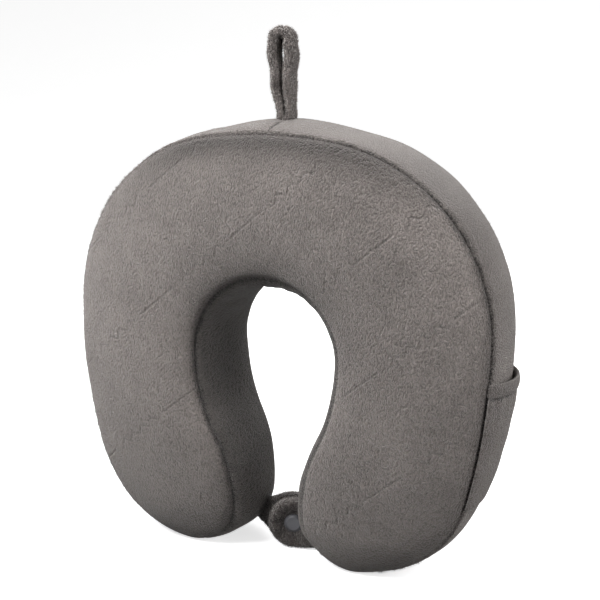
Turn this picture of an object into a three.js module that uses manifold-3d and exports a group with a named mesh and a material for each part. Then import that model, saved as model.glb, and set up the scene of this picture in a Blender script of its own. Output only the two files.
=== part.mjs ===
// U-shaped neck pillow: a moulded foam core in a thin liner and a sewn plush cover, with a hanging
// loop, two chin straps closed by a press snap, a phone pocket and a zip in the cover.
//
// Millimetres, +Z up. The pillow stands on the ends of its two arms at Z = 0, the nape is on top,
// the front panel faces -Y, the back panel faces +Y and the phone pocket is on the +X side.

import * as THREE from 'three';
import { mergeVertices } from 'three/addons/utils/BufferGeometryUtils.js';
import Module from 'manifold-3d';

const wasm = await Module();
wasm.setup();

// ---------------------------------------------------------------- driving dimensions

const gap = 0.3; // clearance between pieces that touch on the real pillow

// Seam outline of the front and back panels: tangent arcs from the top centre down the right side
const napeRadius = 300;
const napeAngle = 7.6;
const halfWidth = 139;
const flankRadius = 390;
const flankAngle = 14.5;
const tipRadius = 72.5;
const innerConvexRadius = 103;
const innerConcaveRadius = 115;
const innerAngle = 27.3;
const neckRadius = 47.7;
const seamLift = 0.8; // lowest point of the seam above the floor: less than the bulge, so it stands flat

// Depth of the pillow, from the middle plane Y = 0 to the seams
const napeDepth = 36.8;
const flankDepthDrop = 11; // how much shallower the flanks are than the nape
const tipDepthDrop = 15; // how much shallower the arm ends are
const tipDropHeight = 133;
const crownHeight = 12; // how far a panel domes over its seams
const crownPerWidth = 0.14;
const crownPower = 0.7;
const outerBulge = 4.3; // how far the outer wall bows out between its seams
const napeBulge = 8; // of the outer wall under the hanging loop
const innerBulge = 3;
const tipBulge = 2.4; // of both walls at the arm ends

// Layers of the cover
const plushThickness = 2.2;
const linerThickness = 0.8;
const linerGap = 0.5;
const foamInset = plushThickness + linerGap + linerThickness + gap;

// Mesh steps: stations from nape to arm end, and rows across each face
const stations = 20;
const panelRows = 6;
const gussetRows = 5;
const bodyEnd = 0.975; // where the foam, the liner and the panels stop short of the arm end
const panelWidth = 90; // typical distance between a panel's two seams
const innerLag = 1.45; // keeps stations square to the arm as the inner outline is the shorter one

// Hanging loop
const loopHeight = 56;
const loopShift = -3; // the loop is sewn on a little in front of the middle plane
const loopTape = { width: 19, thickness: 3.6 };
const loopHalfGap = { base: 1.9, top: 8 };
const loopBaseRadius = 3.8; // round foot that the loop turns on
const loopSpan = { outer: 0.06, inner: 0.3, top: 0.9 }; // shares of the height where the edges start and bend

// Chin straps and their press snap
const strap = { width: 33, thickness: 4, centreZ: 17.3, endLength: 17, straight: 9, bend: 11 };
const strapRoots = { left: { x: -30, y: 27 }, right: { x: 27, y: 10.5 } };
const rootReach = 4; // how far the bands run on past their roots before the arm trims them
const rootClearance = 2; // between a strap's end and the arm, so that it can swing
const snapPoint = { x: 6.5, y: 2 };
const snapTurn = 14; // degrees that the closed snap faces towards +X
const cap = { radius: 6.2, flatRadius: 3.7, height: 1.7, shoulder: 1.45, rim: 0.4, postRadius: 1.5, postPast: 0.6 };
const socket = { radius: 5.6, flange: 1.4, neckRadius: 3.6, wellRadius: 2.6, wellFloor: 0.6, mouth: 0.35 };
const stud = { radius: 5.6, flange: 0.8, nubRadius: 2.1, nubEnd: -0.7, nubTip: -0.9 };
const armTop = 0.55; // station above which the straps never reach
const strapSpacing = 4.4; // between the two straps' facing sides, filled by socket and stud

// Phone pocket on the right flank
const pocketTop = 0.565; // stations of the mouth and of the bottom seam
const pocketBottom = 0.767;
const pocketStand = 5.8; // how far the pocket stands off the wall, and how much the elastic pulls its mouth in
const mouthPull = 0.7;
const pocketEdge = 0.93;
const pocketPlush = 1.6;
const hemShare = 0.09; // of the pocket's height
const hem = { start: 0.004, fold: 0.985, ply: 0.5, depth: 2 }; // shares of the height, and millimetres of cloth
const elastic = { start: 0.016, end: 0.98, low: 0.8, high: 1.2 };

// Zip round the left shoulder
const zip = { start: 14, end: 86, tapeWidth: 11, toothHalf: 2.2, coilThickness: 1.6, tapeThickness: 0.9 };
const zipMargin = 1; // degrees between the zip's ends and the ends of its slot
const stopSweep = 1; // degrees along the zip
const coilInset = 1.2; // degrees from the zip's ends to the coils
const zipSteps = 14;
const tapeSink = 0.9; // how far the tapes lie under the plush face
const slider = { angle: 79, sweep: 5, halfWidth: 3.4, height: 2.2 };
const arch = { sweep: 3.2, halfWidth: 0.7, height: 2.6, overlap: 1.2 }; // the pull hangs from it
const eye = { radius: 1, below: 1.5 }; // the hole through the slider's arch, and its depth under the arch's top
const pullTab = { width: 5.4, length: 22, thickness: 1.1, bar: 0.7, windowHalfWidth: 1.4, windowLength: 4.6 };

// Care label on the left arm: stations along the arm, and places across the wall
const label = { top: 0.8, bottom: 0.855, front: 0.5, back: 0.94, thickness: 0.5 };

// ---------------------------------------------------------------- materials

const cloth = (colour) => new THREE.MeshStandardMaterial({ color: colour, roughness: 0.95, metalness: 0 });
const plush = cloth('#857d78');
const plushDark = cloth('#5f5853');
const lining = cloth('#cfccc6');
const foamMaterial = cloth('#e9e4d6');
const elasticMaterial = cloth('#2c2a2a');
const labelMaterial = cloth('#e6e4df');
const tapeMaterial = cloth('#6d6662');
const plastic = new THREE.MeshStandardMaterial({ color: '#4a494d', roughness: 0.45, metalness: 0 });
const metal = new THREE.MeshStandardMaterial({ color: '#55524f', roughness: 0.35, metalness: 0.9 });

const group = new THREE.Group();

function addPiece(name, geometry, material) {
  const mesh = new THREE.Mesh(geometry, material);
  mesh.name = name;
  group.add(mesh);
}

// ---------------------------------------------------------------- small helpers

const rad = THREE.MathUtils.degToRad;
const lerp = THREE.MathUtils.lerp;
const smooth = THREE.MathUtils.smoothstep;

function signedVolume(points, triangles) {
  let sum = 0;
  for (let i = 0; i < triangles.length; i += 3) {
    const [a, b, c] = [points[triangles[i]], points[triangles[i + 1]], points[triangles[i + 2]]];
    sum += a.dot(b.clone().cross(c));
  }
  return sum;
}

/** Two triangles over four corners in order, split along the shorter diagonal. */
function quadFaces(points, a, b, c, d) {
  const cutAC = points[a].distanceTo(points[c]) <= points[b].distanceTo(points[d]);
  return cutAC ? [a, b, c, a, c, d] : [a, b, d, b, c, d];
}

function solidGeometry(points, triangles) {
  const indices = [...triangles];
  if (signedVolume(points, indices) < 0) indices.reverse();
  const geometry = new THREE.BufferGeometry().setFromPoints(points);
  geometry.setIndex(indices);
  return geometry;
}

/** A closed shell between two equal grids, grid[row][column]; wrapRows joins the last row to the first. */
function shellSolid(outer, inner, wrapRows = false) {
  const rows = outer.length;
  const columns = outer[0].length;
  const points = [...outer.flat(), ...inner.flat()];
  const triangles = [];
  const at = (layer, row, column) => (layer * rows + (row % rows)) * columns + column;
  const quad = (...corners) => triangles.push(...quadFaces(points, ...corners));
  const lastRow = wrapRows ? rows : rows - 1;
  for (let r = 0; r < lastRow; r += 1) {
    for (let c = 0; c < columns - 1; c += 1) {
      quad(at(0, r, c), at(0, r, c + 1), at(0, r + 1, c + 1), at(0, r + 1, c));
      quad(at(1, r, c), at(1, r + 1, c), at(1, r + 1, c + 1), at(1, r, c + 1));
    }
    quad(at(0, r, 0), at(0, r + 1, 0), at(1, r + 1, 0), at(1, r, 0));
    quad(at(0, r, columns - 1), at(1, r, columns - 1), at(1, r + 1, columns - 1), at(0, r + 1, columns - 1));
  }
  if (!wrapRows) {
    for (let c = 0; c < columns - 1; c += 1) {
      quad(at(0, 0, c), at(1, 0, c), at(1, 0, c + 1), at(0, 0, c + 1));
      quad(at(0, rows - 1, c), at(0, rows - 1, c + 1), at(1, rows - 1, c + 1), at(1, rows - 1, c));
    }
  }
  return solidGeometry(points, triangles);
}

/** A solid through equal rings of points; its ends are closed by a plane section, or by fans if there is none. */
function loftSolid(rings, section) {
  const count = rings[0].length;
  const points = rings.flat();
  const triangles = [];
  for (let r = 0; r < rings.length - 1; r += 1) {
    for (let c = 0; c < count; c += 1) {
      const a = r * count + c;
      const b = r * count + ((c + 1) % count);
      triangles.push(...quadFaces(points, a, b, b + count, a + count));
    }
  }
  const last = (rings.length - 1) * count;
  if (section) {
    for (const face of THREE.ShapeUtils.triangulateShape(section, [])) {
      const [i, j, k] = face.sort((a, b) => a - b); // ring order, so that both caps face out
      triangles.push(i, k, j);
      triangles.push(last + i, last + j, last + k);
    }
    return solidGeometry(points, triangles);
  }
  const middle = (ring) => ring.reduce((sum, p) => sum.add(p), new THREE.Vector3()).divideScalar(count);
  points.push(middle(rings[0]), middle(rings[rings.length - 1]));
  const hub = rings.length * count;
  for (let c = 0; c < count; c += 1) {
    const d = (c + 1) % count;
    triangles.push(hub, d, c);
    triangles.push(hub + 1, last + c, last + d);
  }
  return solidGeometry(points, triangles);
}

function toSolid(geometry) {
  const bare = new THREE.BufferGeometry();
  bare.setAttribute('position', geometry.getAttribute('position'));
  bare.setIndex(geometry.getIndex());
  const merged = mergeVertices(bare, 1e-4);
  const vertProperties = new Float32Array(merged.getAttribute('position').array);
  const triVerts = new Uint32Array(merged.getIndex().array);
  return new wasm.Manifold(new wasm.Mesh({ numProp: 3, vertProperties, triVerts }));
}

function toGeometry(solid) {
  const mesh = solid.getMesh();
  const geometry = new THREE.BufferGeometry();
  geometry.setAttribute('position', new THREE.BufferAttribute(mesh.vertProperties, 3));
  geometry.setIndex(new THREE.BufferAttribute(mesh.triVerts, 1));
  return geometry;
}

// ---------------------------------------------------------------- the seam outline

/** The tangent arcs of the right half outline. A heading of 0 runs along +X and grows clockwise. */
function outlineArcs() {
  const shoulderRadius = (halfWidth - napeRadius * Math.sin(rad(napeAngle))) / (1 - Math.sin(rad(napeAngle)));
  const flankShift = flankRadius * (1 - Math.cos(rad(flankAngle)));
  const tipX = halfWidth - flankShift - tipRadius * Math.cos(rad(flankAngle));
  const waistShift = (innerConvexRadius + innerConcaveRadius) * (1 - Math.cos(rad(innerAngle)));
  const innerTipRadius = tipX - (neckRadius - waistShift);
  const turns = [
    [napeRadius, napeAngle, 1],
    [shoulderRadius, 90 - napeAngle, 1],
    [flankRadius, flankAngle, 1],
    [tipRadius, 90 - flankAngle, 1],
    [innerTipRadius, 90, 1],
    [innerConvexRadius, innerAngle, 1],
    [innerConcaveRadius, innerAngle, -1],
    [neckRadius, 90, -1],
  ];
  let [x, z, heading] = [0, 0, 0];
  const arcs = turns.map(([radius, angle, sign]) => {
    const arc = { radius, sign, heading, length: radius * rad(angle) };
    arc.cx = x - sign * radius * Math.sin(heading);
    arc.cz = z - sign * radius * Math.cos(heading);
    heading += sign * rad(angle);
    x = arc.cx + sign * radius * Math.sin(heading);
    z = arc.cz + sign * radius * Math.cos(heading);
    return arc;
  });
  const tip = arcs[3];
  const lowest = tip.cz - tip.radius;
  for (const arc of arcs) arc.cz += seamLift - lowest;
  return arcs;
}

const arcs = outlineArcs();
const outerArcs = arcs.slice(0, 4);
const innerArcs = arcs.slice(4);
const totalLength = (list) => list.reduce((sum, arc) => sum + arc.length, 0);
const outerLength = totalLength(outerArcs);
const innerLength = totalLength(innerArcs);

/** The point and the outward normal of an arc list at a distance along it. */
function alongArcs(list, distance) {
  let left = distance;
  let arc = list[0];
  for (const next of list) {
    arc = next;
    if (left <= arc.length) break;
    if (next !== list[list.length - 1]) left -= arc.length;
  }
  const heading = arc.heading + (arc.sign * left) / arc.radius;
  const nx = Math.sin(heading);
  const nz = Math.cos(heading);
  return { x: arc.cx + arc.sign * arc.radius * nx, z: arc.cz + arc.sign * arc.radius * nz, nx, nz };
}

const outerSeam = (s) => alongArcs(outerArcs, s * outerLength);
const innerSeam = (s) => alongArcs(innerArcs, (1 - s ** innerLag) * innerLength);

/** Depth of a seam from the middle plane, at a place in the outline. */
function seamDepth(p) {
  const low = Math.max(1 - p.z / tipDropHeight, 0);
  return napeDepth - flankDepthDrop * (p.x / halfWidth) ** 2 - tipDepthDrop * low ** 2;
}

// ---------------------------------------------------------------- the pillow's faces

/** A point of the domed front (facing -1) or back (facing +1) panel: u runs from outer to inner seam. */
function panelPoint(s, u, inset, facing) {
  const outer = outerSeam(s);
  const inner = innerSeam(s);
  const ox = outer.x - inset * outer.nx;
  const oz = outer.z - inset * outer.nz;
  const ix = inner.x - inset * inner.nx;
  const iz = inner.z - inset * inner.nz;
  const crown = Math.min(crownHeight, crownPerWidth * Math.hypot(outer.x - inner.x, outer.z - inner.z));
  const base = lerp(seamDepth(outer), seamDepth(inner), u) - inset;
  const depth = base + crown * (4 * u * (1 - u)) ** crownPower;
  return new THREE.Vector3(lerp(ox, ix, u), facing * depth, lerp(oz, iz, u));
}

/** A point of the wall between the panels: v runs from -1 at the front seam to +1 at the back seam. */
function wallPoint(seam, bulge, v, inset) {
  const bow = bulge * (1 - v * v) - inset;
  const z = seam.z + bow * seam.nz;
  return new THREE.Vector3(seam.x + bow * seam.nx, v * (seamDepth(seam) - inset), Math.max(z, inset));
}

const flankBulge = (s) => lerp(outerBulge, tipBulge, smooth(s, 0.55, 0.95));
const outerWallBulge = (s) => lerp(napeBulge, flankBulge(s), smooth(s, 0, 0.13));
const innerWallBulge = (s) => lerp(innerBulge, tipBulge, smooth(s, 0.78, 1));
const outerWall = (s, v, inset) => wallPoint(outerSeam(s), outerWallBulge(s), v, inset);
const innerWall = (s, v, inset) => wallPoint(innerSeam(s), innerWallBulge(s), v, inset);

const mirrored = (point) => new THREE.Vector3(-point.x, point.y, point.z);
const steps = (from, to, count) => Array.from({ length: count + 1 }, (_, i) => lerp(from, to, i / count));

/** Stations from one arm end over the nape to the other, each with its side. */
function wholeStations() {
  const half = steps(0, bodyEnd, stations);
  const left = half.slice(1).reverse().map((s) => ({ s, flip: true }));
  return [...left, ...half.map((s) => ({ s, flip: false }))];
}

/** One closed ring round the body at a station: front panel, inner wall, back panel, outer wall. */
function bodyRing({ s, flip }, inset) {
  const ring = [];
  for (const u of steps(0, 1, panelRows)) ring.push(panelPoint(s, u, inset, -1));
  for (const v of steps(-1, 1, gussetRows).slice(1, -1)) ring.push(innerWall(s, v, inset));
  for (const u of steps(1, 0, panelRows)) ring.push(panelPoint(s, u, inset, 1));
  for (const v of steps(1, -1, gussetRows).slice(1, -1)) ring.push(outerWall(s, v, inset));
  return flip ? ring.map(mirrored) : ring;
}

// ---------------------------------------------------------------- foam, liner and cover

function makeFoam() {
  const rings = wholeStations().map((station) => bodyRing(station, foamInset));
  addPiece('foam_core', loftSolid(rings), foamMaterial);
}

function makeLiner() {
  const outside = plushThickness + linerGap;
  const across = (inset) => wholeStations().map((station) => bodyRing(station, inset));
  const turn = (grid) => grid[0].map((_, column) => grid.map((row) => row[column]));
  const liner = shellSolid(turn(across(outside)), turn(across(outside + linerThickness)), true);
  addPiece('inner_liner', liner, lining);
}

function makePanel(name, facing) {
  const edge = gap / panelWidth;
  const grid = (inset) => wholeStations().map(({ s, flip }) => {
    const row = steps(edge, 1 - edge, panelRows).map((u) => panelPoint(s, u, inset, facing));
    return flip ? row.map(mirrored) : row;
  });
  addPiece(name, shellSolid(grid(0), grid(plushThickness)), plush);
}

/** Half of the outer or inner wall band, from the join seam on top to the one at the arm end. */
function wallBand(wall, length, flip) {
  const edge = 1 - gap / napeDepth;
  const places = [gap / length, ...steps(0, bodyEnd, stations).slice(1), 1 - gap / length];
  const grid = (inset) => places.map((s) => {
    const row = steps(-edge, edge, gussetRows).map((v) => wall(s, v, inset));
    return flip ? row.map(mirrored) : row;
  });
  return shellSolid(grid(0), grid(plushThickness));
}

function makeGussets() {
  for (const [side, flip] of [['right', false], ['left', true]]) {
    const outer = wallBand(outerWall, outerLength, flip);
    const slotted = flip ? toGeometry(toSolid(outer).subtract(zipSlot())) : outer;
    addPiece(`outer_gusset_${side}`, slotted, plush);
    addPiece(`inner_gusset_${side}`, wallBand(innerWall, innerLength, flip), plush);
  }
}

// ---------------------------------------------------------------- zip on the left shoulder

const shoulder = arcs[1];
const zipRadius = shoulder.radius + outerBulge;

/** A point over the left shoulder; the angle is in degrees from straight up. */
function onShoulder(angle, radius, y = 0) {
  const turn = rad(angle);
  return new THREE.Vector3(-shoulder.cx - radius * Math.sin(turn), y, shoulder.cz + radius * Math.cos(turn));
}

/** A block bent round the left shoulder: angle is from straight up, y and radius are its section. */
function shoulderBand(fromAngle, toAngle, lowY, highY, lowRadius, highRadius, count) {
  const section = [[lowY, lowRadius], [highY, lowRadius], [highY, highRadius], [lowY, highRadius]];
  const rings = steps(fromAngle, toAngle, count).map((angle) => (
    section.map(([y, radius]) => onShoulder(angle, radius, y))
  ));
  return loftSolid(rings, section.map(([y, radius]) => new THREE.Vector2(y, radius)));
}

function zipSlot() {
  const half = zip.toothHalf + zip.tapeWidth + gap;
  const through = 10; // well past both faces of the plush
  const [from, to] = [zip.start - zipMargin, zip.end + zipMargin];
  return toSolid(shoulderBand(from, to, -half, half, zipRadius - through, zipRadius + through, zipSteps));
}

function makeZip() {
  const tapeOuter = zipRadius - tapeSink;
  const tapeInner = tapeOuter - zip.tapeThickness;
  const inside = zip.toothHalf + gap;
  const outside = zip.toothHalf + zip.tapeWidth;
  for (const [side, sign] of [['front', -1], ['rear', 1]]) {
    const tapeY = [sign * inside, sign * outside].sort((a, b) => a - b);
    const tape = shoulderBand(zip.start, zip.end, ...tapeY, tapeInner, tapeOuter, zipSteps);
    addPiece(`zipper_tape_${side}`, tape, tapeMaterial);
    const coilY = [sign * gap / 2, sign * zip.toothHalf].sort((a, b) => a - b);
    const coil = shoulderBand(
      zip.start + coilInset, zip.end - coilInset, ...coilY, tapeInner, tapeInner + zip.coilThickness, zipSteps,
    );
    addPiece(`zipper_coil_${side}`, coil, tapeMaterial);
  }
  const stopY = zip.toothHalf;
  for (const [name, angle] of [['top', zip.start], ['bottom', zip.end - stopSweep]]) {
    const stop = shoulderBand(angle, angle + stopSweep, -stopY, stopY, tapeInner, tapeInner + zip.coilThickness, 1);
    addPiece(`zipper_stop_${name}`, stop, metal);
  }
}

/** The slider rides on the coils at the lower end of the closed zip, and its pull hangs from its arch. */
function makeSlider() {
  const seat = zipRadius - tapeSink - zip.tapeThickness + zip.coilThickness + gap;
  const half = slider.sweep / 2;
  const body = toSolid(shoulderBand(
    slider.angle - half, slider.angle + half, -slider.halfWidth, slider.halfWidth, seat, seat + slider.height, 2,
  ));
  const archHalf = arch.sweep / 2;
  const archFoot = seat + slider.height - arch.overlap;
  const archTop = seat + slider.height + arch.height;
  const bridge = toSolid(shoulderBand(
    slider.angle - archHalf, slider.angle + archHalf, -arch.halfWidth, arch.halfWidth, archFoot, archTop, 1,
  ));
  const hole = new THREE.CylinderGeometry(eye.radius, eye.radius, 4 * arch.halfWidth, 12);
  const pivot = onShoulder(slider.angle, archTop - eye.below);
  hole.translate(pivot.x, pivot.y, pivot.z);
  addPiece('zipper_slider', toGeometry(body.add(bridge).subtract(toSolid(hole))), metal);
  makePull(pivot);
}

/** The pull's flat plate, lying along the shoulder below its pivot, with a window that clears the arch. */
function makePull(pivot) {
  const half = pullTab.width / 2;
  const barHalf = pullTab.bar / 2;
  const shape = new THREE.Shape();
  shape.moveTo(-half, barHalf);
  shape.lineTo(-half, half - pullTab.length);
  shape.absarc(0, half - pullTab.length, half, Math.PI, 2 * Math.PI, false);
  shape.lineTo(half, barHalf);
  shape.closePath();
  const window = new THREE.Path();
  window.moveTo(-pullTab.windowHalfWidth, -barHalf);
  window.lineTo(pullTab.windowHalfWidth, -barHalf);
  window.lineTo(pullTab.windowHalfWidth, -pullTab.windowLength);
  window.lineTo(-pullTab.windowHalfWidth, -pullTab.windowLength);
  window.closePath();
  shape.holes.push(window);
  const plate = new THREE.ExtrudeGeometry(shape, {
    depth: pullTab.thickness, bevelEnabled: false, curveSegments: 8,
  });
  plate.translate(0, 0, -pullTab.thickness / 2);
  plate.rotateX(Math.PI / 2);
  plate.rotateZ(Math.PI / 2);
  plate.rotateY(rad(90 - slider.angle));
  plate.translate(pivot.x, pivot.y, pivot.z);
  addPiece('zipper_pull', plate, metal);
}

// ---------------------------------------------------------------- phone pocket

/** A point on the pocket: w runs from 0 at the bottom seam to 1 at the mouth, v across the wall. */
function pocketPoint(w, v, extra) {
  const s = lerp(pocketBottom, pocketTop, w);
  const across = 1 - (v / pocketEdge) ** 2;
  const rise = pocketStand * Math.sin(rad(90 * w)) - mouthPull * w ** 4;
  return outerWall(s, v, -(gap + rise * across + extra));
}

function makePocket() {
  const across = steps(-pocketEdge, pocketEdge, 8);
  const panelTop = 1 - hemShare;
  const grid = (extra) => steps(0, panelTop, 6).map((w) => across.map((v) => pocketPoint(w, v, extra)));
  addPiece('phone_pocket', shellSolid(grid(pocketPlush), grid(0)), plush);
  const low = panelTop + hem.start;
  const back = hem.depth - hem.ply;
  const channel = [
    [low, 0], [low, hem.ply], [hem.fold, hem.ply], [hem.fold, back],
    [low, back], [low, hem.depth], [1, hem.depth], [1, 0],
  ];
  const band = (section) => {
    const rings = across.map((v) => section.map(([w, extra]) => pocketPoint(w, v, extra)));
    return loftSolid(rings, section.map(([w, extra]) => new THREE.Vector2(w, extra)));
  };
  addPiece('pocket_hem', band(channel), plush);
  const start = panelTop + elastic.start;
  const strip = [
    [start, elastic.low], [start, elastic.high], [elastic.end, elastic.high], [elastic.end, elastic.low],
  ];
  addPiece('pocket_elastic', band(strip), elasticMaterial);
}

// ---------------------------------------------------------------- hanging loop

/** Half of the loop's edge, from the foot to the top; reach is half the tape's thickness, out or in. */
function loopEdge(reach, from) {
  const bend = loopHeight - loopBaseRadius - loopHalfGap.top - loopTape.thickness / 2;
  const path = steps(from, loopSpan.top, 4).map((t) => (
    [lerp(loopHalfGap.base, loopHalfGap.top, smooth(t, 0, 1)) + reach, bend * t]
  ));
  const radius = loopHalfGap.top + reach;
  for (const angle of steps(0, 90, 6)) {
    path.push([radius * Math.cos(rad(angle)), bend + radius * Math.sin(rad(angle))]);
  }
  return path;
}

function makeLoop() {
  const pivotZ = arcs[0].cz + napeRadius + napeBulge + gap + loopBaseRadius;
  const half = loopTape.thickness / 2;
  const edge = loopEdge(half, loopSpan.outer);
  const shape = new THREE.Shape();
  shape.absarc(0, 0, loopBaseRadius, Math.PI, 2 * Math.PI, false);
  for (const point of edge) shape.lineTo(...point);
  for (const [x, z] of [...edge].reverse().slice(1)) shape.lineTo(-x, z);
  shape.closePath();
  const inner = loopEdge(-half, loopSpan.inner);
  const hole = new THREE.Path();
  hole.moveTo(...inner[0]);
  for (const point of inner.slice(1)) hole.lineTo(...point);
  for (const [x, z] of [...inner].reverse().slice(1)) hole.lineTo(-x, z);
  hole.closePath();
  shape.holes.push(hole);
  const loop = new THREE.ExtrudeGeometry(shape, { depth: loopTape.width, bevelEnabled: false, curveSegments: 10 });
  loop.translate(0, 0, -loopTape.width / 2);
  loop.rotateX(Math.PI / 2);
  loop.translate(0, loopShift, pivotZ);
  addPiece('hang_loop', loop, plushDark);
}

// ---------------------------------------------------------------- chin straps and snap

/** Places a geometry made about the snap's axis, with the axis on local Y, at the closed snap. */
function atSnap(geometry) {
  geometry.rotateZ(rad(snapTurn));
  geometry.translate(snapPoint.x, snapPoint.y, strap.centreZ);
  return geometry;
}

/** The plan of a strap: straight past the snap, then bent back to its sewn root on the arm end. */
function strapPlan(sign, offset) {
  const turn = rad(snapTurn);
  const along = new THREE.Vector2(Math.cos(turn), Math.sin(turn));
  const across = new THREE.Vector2(-Math.sin(turn), Math.cos(turn));
  const centre = new THREE.Vector2(snapPoint.x, snapPoint.y).addScaledVector(across, offset);
  const end = centre.clone().addScaledVector(along, -sign * strap.endLength);
  const bend = centre.clone().addScaledVector(along, sign * strap.straight);
  const corner = bend.clone().addScaledVector(along, sign * strap.bend);
  const place = sign > 0 ? strapRoots.right : strapRoots.left;
  const root = new THREE.Vector2(place.x, place.y).addScaledVector(along, sign * rootReach);
  return [end, ...new THREE.QuadraticBezierCurve(bend, corner, root).getPoints(7)];
}

function thickLine(points, thickness) {
  const side = (sign) => points.map((p, i) => {
    const before = points[Math.max(i - 1, 0)];
    const after = points[Math.min(i + 1, points.length - 1)];
    const along = after.clone().sub(before).normalize();
    return new THREE.Vector2(p.x - sign * along.y * thickness / 2, p.y + sign * along.x * thickness / 2);
  });
  return new THREE.Shape([...side(1), ...side(-1).reverse()]);
}

/** The strap's face seen along the snap's axis: a wide band with a round end. */
function strapFace(sign) {
  const half = strap.width / 2;
  const reach = 80; // past the strap every way
  const shape = new THREE.Shape();
  shape.moveTo(sign * reach, half);
  shape.lineTo(0, half);
  shape.absarc(0, 0, half, Math.PI / 2, -Math.PI / 2, sign < 0);
  shape.lineTo(sign * reach, -half);
  shape.closePath();
  const face = new THREE.ExtrudeGeometry(shape, { depth: 2 * reach, bevelEnabled: false, curveSegments: 14 });
  face.translate(0, 0, -reach);
  face.rotateX(Math.PI / 2);
  return atSnap(face);
}

function makeStrap(name, sign, offset) {
  const plan = thickLine(strapPlan(sign, offset), strap.thickness);
  const band = new THREE.ExtrudeGeometry(plan, { depth: 2 * strap.width, bevelEnabled: false });
  band.translate(0, 0, strap.centreZ - strap.width);
  const hole = new THREE.CylinderGeometry(cap.postRadius + gap, cap.postRadius + gap, strap.width, 12);
  const shaped = toSolid(band).intersect(toSolid(strapFace(sign)));
  const solid = shaped.subtract(toSolid(atSnap(hole))).subtract(armBlock(sign < 0));
  addPiece(name, toGeometry(solid), plushDark);
}

/** The whole outside of one arm, a little larger, to trim what is sewn to it. */
function armBlock(flip) {
  const rings = steps(armTop, bodyEnd, stations).map((s) => bodyRing({ s, flip }, -rootClearance));
  return toSolid(loftSolid(rings));
}

/** A turned piece on the snap's axis; its profile of [radius, height] runs from the top down. */
function latheAtSnap(profile, flip) {
  const upward = [...profile].reverse().map(([r, y]) => new THREE.Vector2(r, y));
  const lathe = new THREE.LatheGeometry(upward, 20);
  if (flip) lathe.rotateX(Math.PI);
  return atSnap(lathe);
}

function makeSnap() {
  const inside = strapSpacing / 2 - gap;
  const outside = strapSpacing / 2 + strap.thickness + gap;
  const postEnd = strapSpacing / 2 + cap.postPast;
  const capProfile = [
    [0, outside + cap.height], [cap.flatRadius, outside + cap.shoulder], [cap.radius, outside + cap.rim],
    [cap.radius, outside], [cap.postRadius, outside], [cap.postRadius, postEnd], [0, postEnd],
  ];
  addPiece('snap_cap_front', latheAtSnap(capProfile, true), plastic);
  addPiece('snap_cap_rear', latheAtSnap(capProfile, false), plastic);
  const wellEnd = inside - socket.wellFloor;
  const socketProfile = [
    [0, inside], [socket.radius, inside], [socket.radius, inside - socket.flange],
    [socket.neckRadius, socket.mouth], [socket.wellRadius, socket.mouth], [socket.wellRadius, wellEnd], [0, wellEnd],
  ];
  addPiece('snap_socket', latheAtSnap(socketProfile, true), plastic);
  const studProfile = [
    [0, inside], [stud.radius, inside], [stud.radius, inside - stud.flange],
    [stud.nubRadius, inside - stud.flange], [stud.nubRadius, stud.nubEnd], [0, stud.nubTip],
  ];
  addPiece('snap_stud', latheAtSnap(studProfile, false), plastic);
}

// ---------------------------------------------------------------- care label

/** A blank tag caught in the back seam of the left arm, lying against the outer wall. */
function makeLabel() {
  const grid = (lift) => steps(label.top, label.bottom, 3).map((s) => (
    steps(label.front, label.back, 4).map((v) => mirrored(outerWall(s, v, -gap - lift)))
  ));
  addPiece('care_label', shellSolid(grid(label.thickness), grid(0)), labelMaterial);
}

makeFoam();
makeLiner();
makePanel('front_panel', -1);
makePanel('back_panel', 1);
makeGussets();
makeZip();
makeSlider();
makePocket();
makeLoop();
makeStrap('strap_right', 1, -(strapSpacing + strap.thickness) / 2);
makeStrap('strap_left', -1, (strapSpacing + strap.thickness) / 2);
makeSnap();
makeLabel();

export default group;
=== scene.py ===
import math

import bpy
import numpy as np
from mathutils import Matrix, Vector, noise


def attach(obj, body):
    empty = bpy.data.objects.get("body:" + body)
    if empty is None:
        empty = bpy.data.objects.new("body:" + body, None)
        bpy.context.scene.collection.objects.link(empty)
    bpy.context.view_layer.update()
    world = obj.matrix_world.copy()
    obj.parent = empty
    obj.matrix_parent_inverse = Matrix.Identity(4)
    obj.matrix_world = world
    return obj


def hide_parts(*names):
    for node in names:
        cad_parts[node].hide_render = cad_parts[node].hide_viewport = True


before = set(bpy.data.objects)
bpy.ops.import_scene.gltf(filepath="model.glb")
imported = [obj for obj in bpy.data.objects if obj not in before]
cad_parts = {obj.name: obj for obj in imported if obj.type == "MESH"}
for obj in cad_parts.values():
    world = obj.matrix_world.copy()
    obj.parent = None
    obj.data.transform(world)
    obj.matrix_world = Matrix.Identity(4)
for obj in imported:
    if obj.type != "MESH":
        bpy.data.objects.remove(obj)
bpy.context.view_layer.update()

# The looks of a U-shaped neck pillow: its plush cover with rolled and stitched seams, the foam and the
# liner inside, the hanging loop, the chin straps with their press snap, the phone pocket and the zip.
# Lengths are millimetres in the CAD's frame (+Z up, the front panel facing -Y) until a mesh is made.

MM = 0.001

# ---------------------------------------------------------------- dimensions shared with the CAD

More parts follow.
